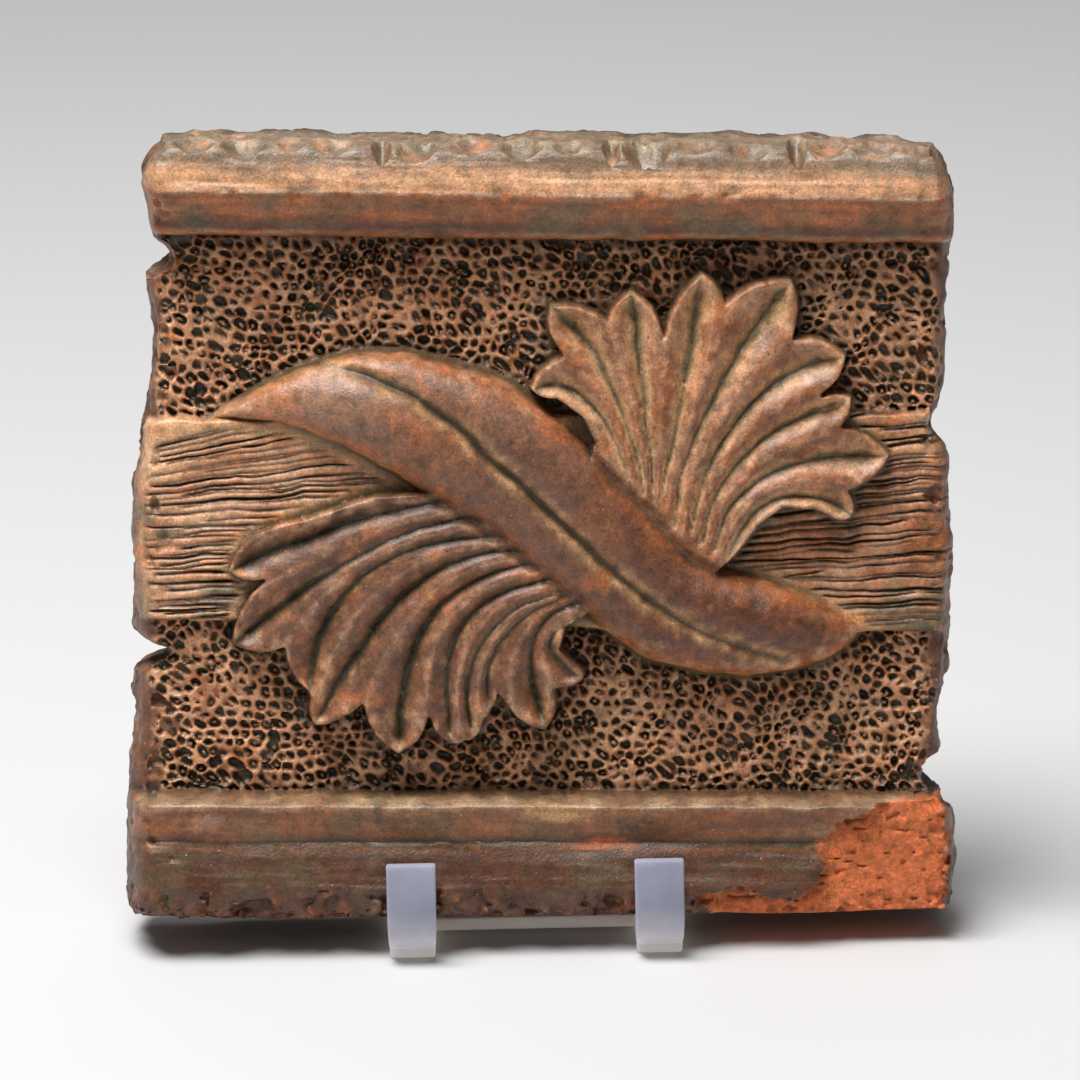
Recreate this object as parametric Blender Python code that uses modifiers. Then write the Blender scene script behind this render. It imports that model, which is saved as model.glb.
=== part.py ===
"""Roof ornament tile of carved, dark-glazed terracotta, leaning on a small moulded plastic easel.

The tile is one slab with a flat back: a moulding along its top and its bottom, a long S-shaped leaf
between them, a fan of acanthus lobes on either side of the leaf, and rough, hand-broken edges.
The easel has two L-shaped arms with a front lip, and a flat crossbar that lies in notches in them.

Sizes are in mm. On the tile, u runs to the right, v up its face and w out of its flat back, with
u = v = 0 at the middle of the face. The tile was cut and carved by hand: its carving runs slightly
downhill and narrows slightly to the right, so it is drawn in its own axes a and b.
"""

import math

import bmesh
import bpy
import numpy as np
from mathutils import Matrix, Vector

MM = 0.001
GAP = 0.3  # between pieces that touch

# The tile's pose on the easel
LEAN = math.radians(8.0)
SEAT_HEIGHT = 3.4  # of the tile's lower back edge above the floor
PART_CENTRE_Y = 11.17  # from the tile's lower back edge to the middle of the easel's length
TILE_CENTRE_X = 0.75

# The slab
HALF_HEIGHT = 92.4
LEFT_EDGE, LEFT_SLOPE = -95.1, 0.048  # u of the edge at mid height, and its change with v
RIGHT_EDGE, RIGHT_SLOPE = 96.1, 0.008
TOP_EDGE, TOP_SLOPE = 91.6, -0.027
CARVING_ACROSS, CARVING_UP = (1.005, -0.0375), (0.0269, 0.997)  # axes of the carving against u and v
TAPER = 6e-5  # of the carving, for each mm to the right
RIM = 10.0  # w where the rounded front edge meets the broken sides
SIDE_ROUND, TOP_ROUND, BOTTOM_ROUND = (5.5, 4.0), 3.0, (4.0, 1.6)  # pairs on the left and the right
EDGE_ZONE = 24.0  # width of the border that follows the uneven edges
BACK_INSET = 1.4
# Notches (negative heights) and bumps along each edge: place, height, half width
LEFT_SPOTS = [(74, -1.2, 6), (66, -6.0, 3), (42, -3.2, 15), (4, 1.2, 14), (-28, -7.5, 2.8), (-62, 0.8, 12),
              (-80, 0.6, 6)]
RIGHT_SPOTS = [(71, 1.5, 9), (22.5, -4.0, 4.5), (32, -1.0, 8), (-8, 1.2, 9), (-61, -6.2, 4), (-48, -2.4, 8),
               (-78, 1.6, 8)]
TOP_SPOTS = [(-79, 0.6, 6), (-54, 0.6, 9), (6, 0.9, 10), (41, 0.8, 7), (62, 0.7, 6), (80, 0.2, 6)]
BOTTOM_SPOTS = [(-96, -1.2, 22), (60, 0.7, 24)]
LEFT_CORNERS, RIGHT_CORNERS = (4.5, 6.5), (0.8, 13.0)  # radii at the bottom and the top

# Levels of the face above the back
GROUND = 23.0
COMB_LEVEL = 26.0
FACE_TOP = 31.5
UPPER_BAND = 34.0
ARRIS = 35.5
SOFFIT = 29.5
LIP = 33.5
CREASE = 30.5
LOWER_BAND = 33.0

# Heights along b of the mouldings' lines, and the combed bands' ends on both sides
FRONT_TOP_B, BAND_B, ARRIS_B, SOFFIT_B = 90.5, 84.5, 79.0, 68.4
LIP_TOP_B, LIP_B, CREASE_B, LOWER_BAND_B = -63.4, -64.6, -73.0, -83.0
COMB_LEFT = (-21.8, 25.2)
COMB_RIGHT = (-24.0, 28.4)

# The big leaf in a and b: its upper and lower outline, both from the left tip to the right tip
LEAF_UPPER = [(-79, 25), (-61, 36), (-42, 41.8), (-22, 39.6), (-3, 32), (23, 10), (40, -6), (62, -13.5),
              (78, -23)]
LEAF_LOWER = [(-79, 25), (-60, 23.5), (-41, 15.6), (-26, 6.5), (-9, -4.5), (9, -19.5), (26, -31), (49, -35),
              (68, -31), (78, -23)]
MIDRIB = [(-55, 39), (-42, 36.7), (-25, 28.3), (-5, 11), (17, -8.7), (35, -21.3), (59, -30.5)]
LEAF_CROWN = 12.6
LEAF_BASE = 23.6
LEAF_FOOT = 0.6  # fall for each mm outside the leaf's outline, where its clay was smoothed down
LEAF_FILLETS = 0.5, 4.5  # on the stippled ground, and added to that on the combed bands
FAN_SINK = 1.0  # fall of the fans for each mm that they run in under the leaf
FURROW_DEPTH, FURROW_WIDTH = 2.4, 2.0

# The fans: where the outline leaves the leaf, then for each lobe its tip, the bend and the root of its
# groove, and the notch after it, and last where the outline meets the leaf again
RIGHT_FAN = {
    "start": [(10, 13), (12, 21), (9, 27), (3, 31)],
    "lobes": [
        ((-3.2, 33.0), (12.5, 39.5), (21, 11), (4, 41)),
        ((1, 53), (18, 40), (24, 9.5), (14.7, 49.5)),
        ((20, 56.5), (23.2, 33), (26.6, 7.5), (28, 46)),
        ((36.5, 60.7), (34, 35), (27.5, 7), (42.5, 54)),
        ((57.5, 59.5), (29, 19.5), (31.7, 1.8), (58.7, 45.7)),
        ((71, 41.5), (41.5, 36.4), (35, 1.1), (65.4, 32.4)),
        ((72.7, 31.7), (41.3, 23.3), (38, -1.2), (70.5, 25.1)),
        ((82, 18.6), (44.5, 19.6), (40.7, -3.5), (72.5, 10.3)),
        ((73.5, 4.4), (52, 17.5), (44, -6), (69, 3.2)),
    ],
    "end": [(64, 5.8), (57, 6.2), (51.5, 2), (46, -5), (41, -10.5), (33, -13), (16, 2)],
    "hub": (33, 4), "reach": 58, "level": 33.2, "droop": 3.4, "groove": 3.6, "roundness": 1.35,
}
LEFT_FAN = {
    "start": [(-16, 12), (-24, 9.6), (-39, 8.4), (-51, 4.4), (-63, 0.8)],
    "lobes": [
        ((-73, -9.8), (-26, 11), (-14, 6.5), (-64.7, -12.3)),
        ((-71.7, -27.4), (-34, 5.2), (-10.5, 3.5), (-59.6, -28.2)),
        ((-54, -38), (-50.7, 0.7), (-6, -1.2), (-53.6, -39.5)),
        ((-52.4, -46.1), (-30, 1), (-2.5, -5), (-41.2, -40.9)),
        ((-32.6, -52.9), (-33.4, -8.5), (1.8, -7), (-25.5, -44.1)),
        ((-19.8, -50.3), (-28.5, -14), (4.7, -10.6), (-17, -49.6)),
        ((-14.6, -48.8), (-23, -21), (6, -13.6), (-12.6, -44.5)),
        ((-11, -41.8), (-17, -23.6), (7.5, -14), (-9.4, -38.4)),
        ((2, -47), (-8.7, -20), (9.5, -16.4), (4.2, -37.2)),
        ((11, -34.8), (-6.5, -25.3), (12, -18.8), (8.8, -31.5)),
    ],
    "end": [(5.2, -27.5), (6.5, -22.5), (16, -17), (14, -8), (-2, 9)],
    "hub": (0, -8), "reach": 78, "level": 32.4, "droop": 3.6, "groove": 2.9, "roundness": 2.1,
}
LOBE_BULGE = 0.12

# The fresh break at the lower right corner in a and b, and the plane of its surface
BREAK = [(80.5, -63.8), (71, -68.3), (65.5, -72.8), (69.4, -78), (61, -86.7), (50, -84), (37, -85),
         (40, -88.5), (50, -96), (106, -96), (106, -62)]
BREAK_LEVEL, BREAK_FALL = 30.7, 0.04

# Mesh of the tile
FACE_STEP = 0.95
WALL = 0.7  # half the width of the slope at the fans' outlines
KEEP_SHARE = 0.087

# The easel
ARM_U = (-32.0, 26.0)
ARM_WIDTH = 11.6
ARM_BEVEL = 0.6
SEAT_V = -HALF_HEIGHT - GAP
LIP_INNER_W, LIP_OUTER_W = 36.8, 40.2
LIP_TOP_V = -76.4
REST_THICK = 4.2
REST_TOP_V = -8.0
HEEL_Y, HEEL_THICK = 62.0, 3.2
FOOT_Y, FOOT_HEIGHT = -32.6, 2.7
BAR_THICK, BAR_FRONT_W, BAR_BACK_W = 3.0, 21.0, 10.0
BAR_SETBACK = 0.8  # of the bar's ends from the arms' outer sides


def clear_scene():
    for old in list(bpy.data.objects):
        bpy.data.objects.remove(old, do_unlink=True)


def new_collection(name):
    made = bpy.data.collections.new(name)
    bpy.context.scene.collection.children.link(made)
    return made


def material(name, colour, roughness, alpha=1.0):
    made = bpy.data.materials.new(name)
    made.use_nodes = True
    shader = made.node_tree.nodes["Principled BSDF"]
    shader.inputs["Base Color"].default_value = (*colour, 1.0)
    shader.inputs["Roughness"].default_value = roughness
    shader.inputs["Metallic"].default_value = 0.0
    shader.inputs["Alpha"].default_value = alpha
    return made


def smooth_curve(points, per_span=5):
    """Points of a Catmull-Rom curve through the given ones."""
    p = np.array(points, float)
    p = np.vstack([2 * p[0] - p[1], p, 2 * p[-1] - p[-2]])
    t = np.linspace(0, 1, per_span, endpoint=False)[:, None]
    spans = []
    for p0, p1, p2, p3 in zip(p, p[1:], p[2:], p[3:]):
        spans.append(0.5 * (2 * p1 + (p2 - p0) * t + (2 * p0 - 5 * p1 + 4 * p2 - p3) * t**2
                            + (3 * p1 - p0 - 3 * p2 + p3) * t**3))
    return np.vstack(spans + [p[-2][None]])


def bent_line(start, bend, end, count=12):
    """Points of a quadratic Bezier curve."""
    t = np.linspace(0, 1, count)[:, None]
    start, bend, end = (np.array(p, float) for p in (start, bend, end))
    return (1 - t) ** 2 * start + 2 * t * (1 - t) * bend + t**2 * end


def distance_to(line, a, b):
    """Distance from every point (a, b) to a line of points."""
    best = np.full(a.shape, 1e9)
    for (x0, y0), (x1, y1) in zip(line, line[1:]):
        dx, dy = x1 - x0, y1 - y0
        t = np.clip(((a - x0) * dx + (b - y0) * dy) / (dx * dx + dy * dy + 1e-12), 0, 1)
        best = np.minimum(best, (a - x0 - t * dx) ** 2 + (b - y0 - t * dy) ** 2)
    return np.sqrt(best)


def inside(outline, a, b):
    """True for every point (a, b) inside a closed outline."""
    found = np.zeros(a.shape, bool)
    for (x0, y0), (x1, y1) in zip(outline, np.roll(outline, -1, axis=0)):
        if y0 != y1:
            found ^= ((y0 > b) != (y1 > b)) & (a < (x1 - x0) * (b - y0) / (y1 - y0) + x0)
    return found


def ease(low, high, x):
    t = np.clip((x - low) / (high - low), 0, 1)
    return t * t * (3 - 2 * t)


def soft_max(x, y, k):
    """The larger of two heights, with a fillet of about k where they meet."""
    h = np.clip(0.5 + 0.5 * (x - y) / k, 0, 1)
    return y + (x - y) * h + k * h * (1 - h)


def bumps(t, spots):
    return sum(height * np.exp(-(((t - place) / half) ** 2)) for place, height, half in spots)


def corner_pull(v, radii):
    """How far a side edge draws in near its two ends, to round the slab's corners."""
    pulls = []
    for beyond, radius in ((v + HALF_HEIGHT, radii[0]), (TOP_EDGE - v, radii[1])):
        near = np.clip(1 - beyond / radius, 0, 0.95)
        pulls.append(radius * 0.9 * (1 - np.sqrt(1 - near**2)))
    return pulls[0] + pulls[1]


def left_edge(v):
    pull = corner_pull(v, LEFT_CORNERS)
    return LEFT_EDGE + LEFT_SLOPE * v - bumps(v, LEFT_SPOTS) + pull


def right_edge(v):
    pull = corner_pull(v, RIGHT_CORNERS)
    return RIGHT_EDGE + RIGHT_SLOPE * v + bumps(v, RIGHT_SPOTS) - pull


def bottom_edge(u):
    """Flat between the easel's arms, where the tile stands, and uneven beyond them."""
    beyond = np.maximum(ease(-40, -60, u), ease(34, 50, u))
    return -HALF_HEIGHT - bumps(u, BOTTOM_SPOTS) * beyond


def to_carving_axes(u, v):
    grown = 1 / (1 - TAPER * u)
    a = (CARVING_ACROSS[0] * u + CARVING_ACROSS[1] * v) * grown
    return a, (CARVING_UP[0] * u + CARVING_UP[1] * v) * grown


def mouldings(b):
    """Section through the slab's face from the bottom edge to the top one, without the carving."""
    heights = [-95, -90, LOWER_BAND_B, CREASE_B - 1.2, CREASE_B, LIP_B, LIP_TOP_B, LIP_TOP_B + 0.6,
               SOFFIT_B - 0.8, SOFFIT_B, ARRIS_B, BAND_B, FRONT_TOP_B, 95]
    levels = [LOWER_BAND - 2, LOWER_BAND, LOWER_BAND + 0.8, LOWER_BAND - 0.4, CREASE, LIP, LIP - 3, GROUND,
              GROUND, SOFFIT, ARRIS, UPPER_BAND, FACE_TOP, FACE_TOP - 2]
    return np.interp(b, heights, levels)


def combed_bands(a, b):
    """Level of the ground between the mouldings: combed bands stand above the stippled fields."""
    share = ease(-30, 30, a)
    low = COMB_LEFT[0] + share * (COMB_RIGHT[0] - COMB_LEFT[0])
    high = COMB_LEFT[1] + share * (COMB_RIGHT[1] - COMB_LEFT[1])
    band = ease(low - 0.8, low + 0.8, b) * (1 - ease(high - 0.8, high + 0.8, b))
    return GROUND + (COMB_LEVEL - GROUND) * band


def leaf(a, b):
    """The S-shaped leaf: one rounded mass with a furrow along its midrib, and the distance into it."""
    upper, lower, midrib = (smooth_curve(line) for line in (LEAF_UPPER, LEAF_LOWER, MIDRIB))
    body = inside(np.vstack([upper, lower[::-1]]), a, b)
    to_upper, to_lower = distance_to(upper, a, b), distance_to(lower, a, b)
    width = to_upper + to_lower + 1e-6
    across = 2 * to_upper / width - 1
    crown = LEAF_CROWN * np.clip(width / 26, 0, 1) ** 0.75
    to_edge = np.minimum(to_upper, to_lower)
    mass = crown * (1 - np.abs(across) ** 2.5) ** 0.62 * ease(-0.3, 1.7, to_edge)
    to_rib = distance_to(midrib, a, b)
    furrow = FURROW_DEPTH * np.exp(-((to_rib / FURROW_WIDTH) ** 2)) + 1.4 * np.exp(-((to_rib / 6) ** 2))
    inner = LEAF_BASE + mass - furrow * ease(0, 6, to_edge)
    return np.where(body, inner, LEAF_BASE - LEAF_FOOT * to_edge), np.where(body, to_edge, -to_edge)


def lobe_side(start, end, bulge):
    """Outline from a notch to a tip or back, bowed out to the left of its direction."""
    start, end = np.array(start, float), np.array(end, float)
    run = end - start
    bend = (start + end) / 2 + bulge * 2 * np.array([-run[1], run[0]])
    return bent_line(start, bend, end, 5)[1:]


def fan(shape, a, b, turn):
    """A fan of pointed lobes, each with a groove from its tip to its root, and ridges between them."""
    outline = [np.array(shape["start"], float)]
    last = shape["start"][-1]
    for tip, bend, root, notch in shape["lobes"]:
        outline.append(lobe_side(last, tip, turn * LOBE_BULGE))
        outline.append(lobe_side(tip, notch, turn * LOBE_BULGE))
        last = notch
    outline = np.vstack(outline + [np.array(shape["end"], float)])
    body = inside(outline, a, b)
    to_edge = distance_to(np.vstack([outline, outline[:1]]), a, b)
    grooves = [distance_to(bent_line(tip, bend, root), a, b) for tip, bend, root, notch in shape["lobes"]]
    nearest, second = np.sort(np.array(grooves), axis=0)[:2]
    to_ridge = np.minimum((second - nearest) / 2, to_edge + 0.8)
    rise = 1 - (1 - nearest / (nearest + to_ridge + 1e-6)) ** shape["roundness"]
    out = np.hypot(a - shape["hub"][0], b - shape["hub"][1]) / shape["reach"]
    depth = np.minimum(shape["groove"], 0.75 * (nearest + to_ridge)) * ease(0, 4, to_edge + 0.6)
    top = shape["level"] - shape["droop"] * out**2
    rounding = 1.4 * (1 - np.sqrt(1 - (1 - np.clip(to_edge / 1.4, 0, 1)) ** 2))
    carved = top - depth * (1 - rise) - rounding * body
    wall = ease(-WALL, WALL, np.where(body, to_edge, -to_edge))
    return GROUND + (carved - GROUND) * wall


def broken_corner(a, b, level):
    """Cuts the face down to the fresh break's sloping plane."""
    outline = np.array(BREAK, float)
    depth = ease(0, 0.9, distance_to(outline[:9], a, b)) * inside(outline, a, b)
    plane = BREAK_LEVEL - BREAK_FALL * (a - 66)
    return level + (np.minimum(plane, level) - level) * depth


def face_level(u, v):
    """Height of the carved face above the flat back, before its edges are rounded off."""
    a, b = to_carving_axes(u, v)
    ground = np.maximum(mouldings(b), combed_bands(a, b))
    on_comb = ease(0.5, 2.5, combed_bands(a, b) - GROUND)
    leaf_level, into_leaf = leaf(a, b)
    sink = FAN_SINK * np.maximum(into_leaf, 0)
    level = soft_max(leaf_level, ground, LEAF_FILLETS[0] + LEAF_FILLETS[1] * on_comb)
    level = np.maximum(level, fan(RIGHT_FAN, a, b, 1) - sink)
    level = np.maximum(level, fan(LEFT_FAN, a, b, -1) - sink)
    return broken_corner(a, b, level)


def rolled(distance, radius):
    """1 well inside an edge and 0 on it, along a quarter round."""
    x = 1 - np.clip(distance / radius, 0, 1)
    return np.sqrt(np.maximum(1 - x * x, 0))


def face_points(across, up):
    """Points (u, v, w) of the face for shares of its width and height from 0 to 1.

    The rows follow the mouldings, and only the outermost columns follow the uneven edges.
    """
    v = -HALF_HEIGHT + up * (HALF_HEIGHT + TOP_EDGE)
    width, height = RIGHT_EDGE - LEFT_EDGE, HALF_HEIGHT + TOP_EDGE
    u = LEFT_EDGE + across * width
    near_left, near_right = (np.clip(1 - t * width / EDGE_ZONE, 0, 1) ** 2 for t in (across, 1 - across))
    near_bottom, near_top = (np.clip(1 - t * height / EDGE_ZONE, 0, 1) for t in (up, 1 - up))
    v = v + TOP_SLOPE * u * (1 - near_bottom)
    u = u + near_left * (left_edge(v) - LEFT_EDGE) + near_right * (right_edge(v) - RIGHT_EDGE)
    v = v + near_top * bumps(u, TOP_SPOTS) + near_bottom * (bottom_edge(u) + HALF_HEIGHT)
    side_round = SIDE_ROUND[0] + (SIDE_ROUND[1] - SIDE_ROUND[0]) * across
    bottom_round = BOTTOM_ROUND[0] + (BOTTOM_ROUND[1] - BOTTOM_ROUND[0]) * across
    kept = rolled(across * width, side_round) * rolled((1 - across) * width, side_round)
    kept = kept * rolled(up * height, bottom_round) * rolled((1 - up) * height, TOP_ROUND)
    return u, v, RIM + (face_level(u, v) - RIM) * kept


def sheet_to_mesh(bm, name):
    mesh = bpy.data.meshes.new(name)
    bm.to_mesh(mesh)
    bm.free()
    return mesh


def carved_sheet():
    """The face and the broken sides as one open sheet in mm that ends on the plane of the back."""
    columns = round((RIGHT_EDGE - LEFT_EDGE) / FACE_STEP)
    rows = round(2 * HALF_HEIGHT / FACE_STEP)
    bm = bmesh.new()
    bmesh.ops.create_grid(bm, x_segments=columns, y_segments=rows, size=0.5)
    shares = np.array([vert.co[:2] for vert in bm.verts]) + 0.5
    for vert, point in zip(bm.verts, np.stack(face_points(shares[:, 0], shares[:, 1]), axis=1)):
        vert.co = point
    rim = [edge for edge in bm.edges if edge.is_boundary]
    side = bmesh.ops.extrude_edge_only(bm, edges=rim)["geom"]
    middle = Vector(((LEFT_EDGE + RIGHT_EDGE) / 2, 0, 0))
    back = [vert for vert in side if isinstance(vert, bmesh.types.BMVert)]
    for vert in back:
        inward = (middle - vert.co) * Vector((1, 1, 0))
        if vert.co.y > -HALF_HEIGHT + 0.5:
            vert.co += inward.normalized() * Vector((1, 0.4, 0)) * BACK_INSET
        vert.co.z = 0
    return sheet_to_mesh(bm, "carved_sheet")


def close_back(mesh):
    """Puts the sheet's open rim exactly on the back plane and fills it with one flat face."""
    bm = bmesh.new()
    bm.from_mesh(mesh)
    rim = [edge for edge in bm.edges if edge.is_boundary]
    for vert in {vert for edge in rim for vert in edge.verts}:
        vert.co.z = 0
    bmesh.ops.holes_fill(bm, edges=rim, sides=0)
    bmesh.ops.recalc_face_normals(bm, faces=bm.faces)
    return sheet_to_mesh(bm, mesh.name)


def tile_point(u, v, w):
    """A point of the tile in the part's frame, in metres."""
    up = v + HALF_HEIGHT
    return Vector((
        (u + TILE_CENTRE_X) * MM,
        (up * math.sin(LEAN) - w * math.cos(LEAN) - PART_CENTRE_Y) * MM,
        (SEAT_HEIGHT + up * math.cos(LEAN) + w * math.sin(LEAN)) * MM,
    ))


def make_tile(parts, finish):
    sheet = bpy.data.objects.new("sheet", carved_sheet())
    parts.objects.link(sheet)
    fewer = sheet.modifiers.new("fewer", "DECIMATE")
    fewer.ratio = KEEP_SHARE
    seen = sheet.evaluated_get(bpy.context.evaluated_depsgraph_get())
    mesh = close_back(bpy.data.meshes.new_from_object(seen))
    bpy.data.objects.remove(sheet, do_unlink=True)
    mesh.transform(Matrix.Scale(MM, 4))
    mesh.name = "terracotta_tile"
    mesh.materials.append(finish)
    tile = bpy.data.objects.new("terracotta_tile", mesh)
    tile.location = tile_point(0, 0, 0)
    tile.rotation_euler = (math.pi / 2 - LEAN, 0, 0)
    parts.objects.link(tile)


def arc(centre, radius, start, end, count):
    """Points of an arc in the (y, z) plane, with angles in degrees."""
    return [(centre[0] + radius * math.cos(math.radians(t)), centre[1] + radius * math.sin(math.radians(t)))
            for t in np.linspace(start, end, count)]


def side_point(v, w):
    point = tile_point(0, v, w) / MM
    return point.y, point.z


def arm_outline():
    """Side view of an arm: lip, seat, back rest and heel, in (y, z)."""
    shift = -PART_CENTRE_Y
    heel_y = HEEL_Y + shift
    foot_y = FOOT_Y + shift
    lip_low = side_point(-HALF_HEIGHT + 1.5, LIP_OUTER_W)
    lean = math.degrees(LEAN)
    rest_back = side_point(SEAT_V + 14, -GAP - REST_THICK)
    outline = [(foot_y + 0.8, 0), (heel_y - 1.0, 0)]
    outline += arc((heel_y - 1.6, 1.6), 1.6, -60, 90, 5)
    outline.append((rest_back[0] + 12, HEEL_THICK))
    outline.append((rest_back[0] + 5, HEEL_THICK + 2.2))
    outline.append((rest_back[0] + 1.3, HEEL_THICK + 6.5))
    outline += [rest_back]
    outline += [side_point(REST_TOP_V - 1.5, -GAP - REST_THICK)]
    outline += [side_point(REST_TOP_V, -GAP - REST_THICK + 1.2), side_point(REST_TOP_V, -GAP - 1.2)]
    outline += [side_point(REST_TOP_V - 1.5, -GAP), side_point(SEAT_V, -GAP)]
    outline += [side_point(SEAT_V, LIP_INNER_W), side_point(LIP_TOP_V - 1.0, LIP_INNER_W)]
    outline += [side_point(LIP_TOP_V, LIP_INNER_W + 1.0), side_point(LIP_TOP_V, LIP_OUTER_W - 1.2)]
    outline += [side_point(LIP_TOP_V - 1.2, LIP_OUTER_W), lip_low]
    # The lip's outer face curls back under the seat to the foot.
    curl = bent_line(lip_low, (lip_low[0] - math.sin(math.radians(lean)) + 0.5, FOOT_HEIGHT + 2.0),
                     (foot_y - 0.4, FOOT_HEIGHT), 6)[1:]
    outline += [tuple(point) for point in curl] + [(foot_y, 0.9)]
    return outline


def make_arm(name, middle_u, parts, cutters, finish):
    curve = bpy.data.curves.new(name, "CURVE")
    curve.dimensions = "2D"
    curve.fill_mode = "BOTH"
    curve.extrude = ARM_WIDTH / 2 * MM
    spline = curve.splines.new("POLY")
    outline = arm_outline()
    spline.points.add(len(outline) - 1)
    for point, (y, z) in zip(spline.points, outline):
        point.co = (y * MM, z * MM, 0, 1)
    spline.use_cyclic_u = True
    flat = bpy.data.objects.new(name + "_outline", curve)
    parts.objects.link(flat)
    seen = flat.evaluated_get(bpy.context.evaluated_depsgraph_get())
    mesh = bpy.data.meshes.new_from_object(seen)
    bpy.data.objects.remove(flat, do_unlink=True)
    bm = bmesh.new()
    bm.from_mesh(mesh)
    bmesh.ops.remove_doubles(bm, verts=bm.verts, dist=0.00001)
    bmesh.ops.dissolve_limit(bm, angle_limit=0.01, verts=bm.verts, edges=bm.edges, delimit={"NORMAL"})
    bmesh.ops.recalc_face_normals(bm, faces=bm.faces)
    bm.to_mesh(mesh)
    bm.free()
    mesh.name = name
    mesh.materials.clear()
    mesh.materials.append(finish)
    arm = bpy.data.objects.new(name, mesh)
    arm.location = ((middle_u + TILE_CENTRE_X) * MM, 0, 0)
    # The curve's x and y become the part's y and z.
    arm.rotation_euler = (math.pi / 2, 0, math.pi / 2)
    parts.objects.link(arm)
    edges = arm.modifiers.new("moulded edges", "BEVEL")
    edges.width = ARM_BEVEL * MM
    edges.segments = 2
    edges.limit_method = "ANGLE"
    edges.angle_limit = math.radians(50)
    cut = arm.modifiers.new("bar notch", "BOOLEAN")
    cut.operation = "DIFFERENCE"
    cut.solver = "EXACT"
    cut.object = make_notch_cutter(name + "_notch", middle_u, cutters)


def bar_box(name, u_low, u_high, grow, top_v):
    """A box along the crossbar, grown by a clearance on its front, back and underside."""
    low_v = SEAT_V - GAP - BAR_THICK - grow
    middle = tile_point((u_low + u_high) / 2, (low_v + top_v) / 2, (BAR_FRONT_W + BAR_BACK_W) / 2)
    bm = bmesh.new()
    bmesh.ops.create_cube(bm, size=1)
    size = Vector((u_high - u_low, top_v - low_v, BAR_FRONT_W - BAR_BACK_W + 2 * grow)) * MM
    bmesh.ops.scale(bm, vec=size, verts=bm.verts)
    box = bpy.data.objects.new(name, sheet_to_mesh(bm, name))
    box.location = middle
    box.rotation_euler = (math.pi / 2 - LEAN, 0, 0)
    return box


def make_notch_cutter(name, middle_u, cutters):
    cutter = bar_box(name, middle_u - ARM_WIDTH, middle_u + ARM_WIDTH, GAP, SEAT_V + 5)
    cutter.hide_render = True
    cutter.display_type = "WIRE"
    cutters.objects.link(cutter)
    return cutter


def make_crossbar(parts, finish):
    reach = ARM_WIDTH / 2 - BAR_SETBACK
    bar = bar_box("easel_crossbar", ARM_U[0] - reach, ARM_U[1] + reach, 0, SEAT_V - GAP)
    bar.data.materials.append(finish)
    parts.objects.link(bar)
    edges = bar.modifiers.new("moulded edges", "BEVEL")
    edges.width = 0.4 * MM
    edges.segments = 2


clear_scene()
ornament = new_collection("roof ornament tile on an easel")
cutter_set = new_collection("cutters")
terracotta = material("glazed terracotta", (0.21, 0.095, 0.06), 0.55)
frosted = material("frosted plastic", (0.62, 0.65, 0.72), 0.35, 0.6)
make_tile(ornament, terracotta)
make_arm("easel_arm_left", ARM_U[0], ornament, cutter_set, frosted)
make_arm("easel_arm_right", ARM_U[1], ornament, cutter_set, frosted)
make_crossbar(ornament, frosted)
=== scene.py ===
"""Roof ornament tile of carved, dark-glazed terracotta, leaning on a small frosted plastic easel.

The file follows the object as it is put together: the easel's two arms, its crossbar, then the tile
that stands on it, carved and glazed step by step. Sizes are in mm. On the tile, u runs to the
right, v up its face and w out of its flat back. The carving has its own axes a and b, because it
was laid out slightly downhill.
"""

import itertools
import math

import bmesh
import bpy
import numpy as np
from mathutils import Matrix, Vector


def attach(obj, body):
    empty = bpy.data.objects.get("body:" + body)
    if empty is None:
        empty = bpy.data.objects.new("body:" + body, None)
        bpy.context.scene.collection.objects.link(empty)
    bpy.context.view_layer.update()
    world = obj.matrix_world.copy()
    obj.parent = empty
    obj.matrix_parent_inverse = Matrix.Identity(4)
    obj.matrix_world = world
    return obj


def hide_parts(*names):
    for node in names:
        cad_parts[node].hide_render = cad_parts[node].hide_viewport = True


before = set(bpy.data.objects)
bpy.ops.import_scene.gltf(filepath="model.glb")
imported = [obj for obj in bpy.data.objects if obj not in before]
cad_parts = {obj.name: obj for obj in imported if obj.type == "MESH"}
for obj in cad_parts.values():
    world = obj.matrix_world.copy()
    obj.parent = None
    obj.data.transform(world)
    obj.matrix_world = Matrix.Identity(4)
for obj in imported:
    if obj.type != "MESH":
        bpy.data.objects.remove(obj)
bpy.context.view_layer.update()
MM = 0.001

# The easel's two arms.
# Each is one L-shaped piece of frosted, slightly blue plastic, injection moulded, with a front lip,
# a back rest and a long heel. The tile stands on both and leans back against their rests.

LEAN = math.radians(8.0)
SEAT_HEIGHT = 3.4  # of the tile's lower back edge above the floor
PART_CENTRE_Y = 11.17  # from the tile's lower back edge to the middle of the easel's length
TILE_CENTRE_X = 0.75
HALF_HEIGHT = 92.4  # of the tile
GAP = 0.3  # between pieces that touch
ARM_U = (-32.0, 26.0)
ARM_WIDTH, ARM_BEVEL = 11.6, 0.75
FOOT_NARROWING = 0.5  # of each side, from the lip's curl down to the foot
SEAT_V = -HALF_HEIGHT - GAP
LIP_INNER_W, LIP_OUTER_W, LIP_TOP_V = 36.8, 40.2, -76.4
REST_THICK, REST_TOP_V = 4.2, -8.0
HEEL_Y, HEEL_THICK = 62.0, 3.2
FOOT_Y, FOOT_HEIGHT = -32.6, 2.7
BAR_THICK, BAR_FRONT_W, BAR_BACK_W = 3.0, 21.0, 10.0
SOFT_EDGE = math.radians(34)  # edges of the plastic that turn by less are shaded smooth


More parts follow.
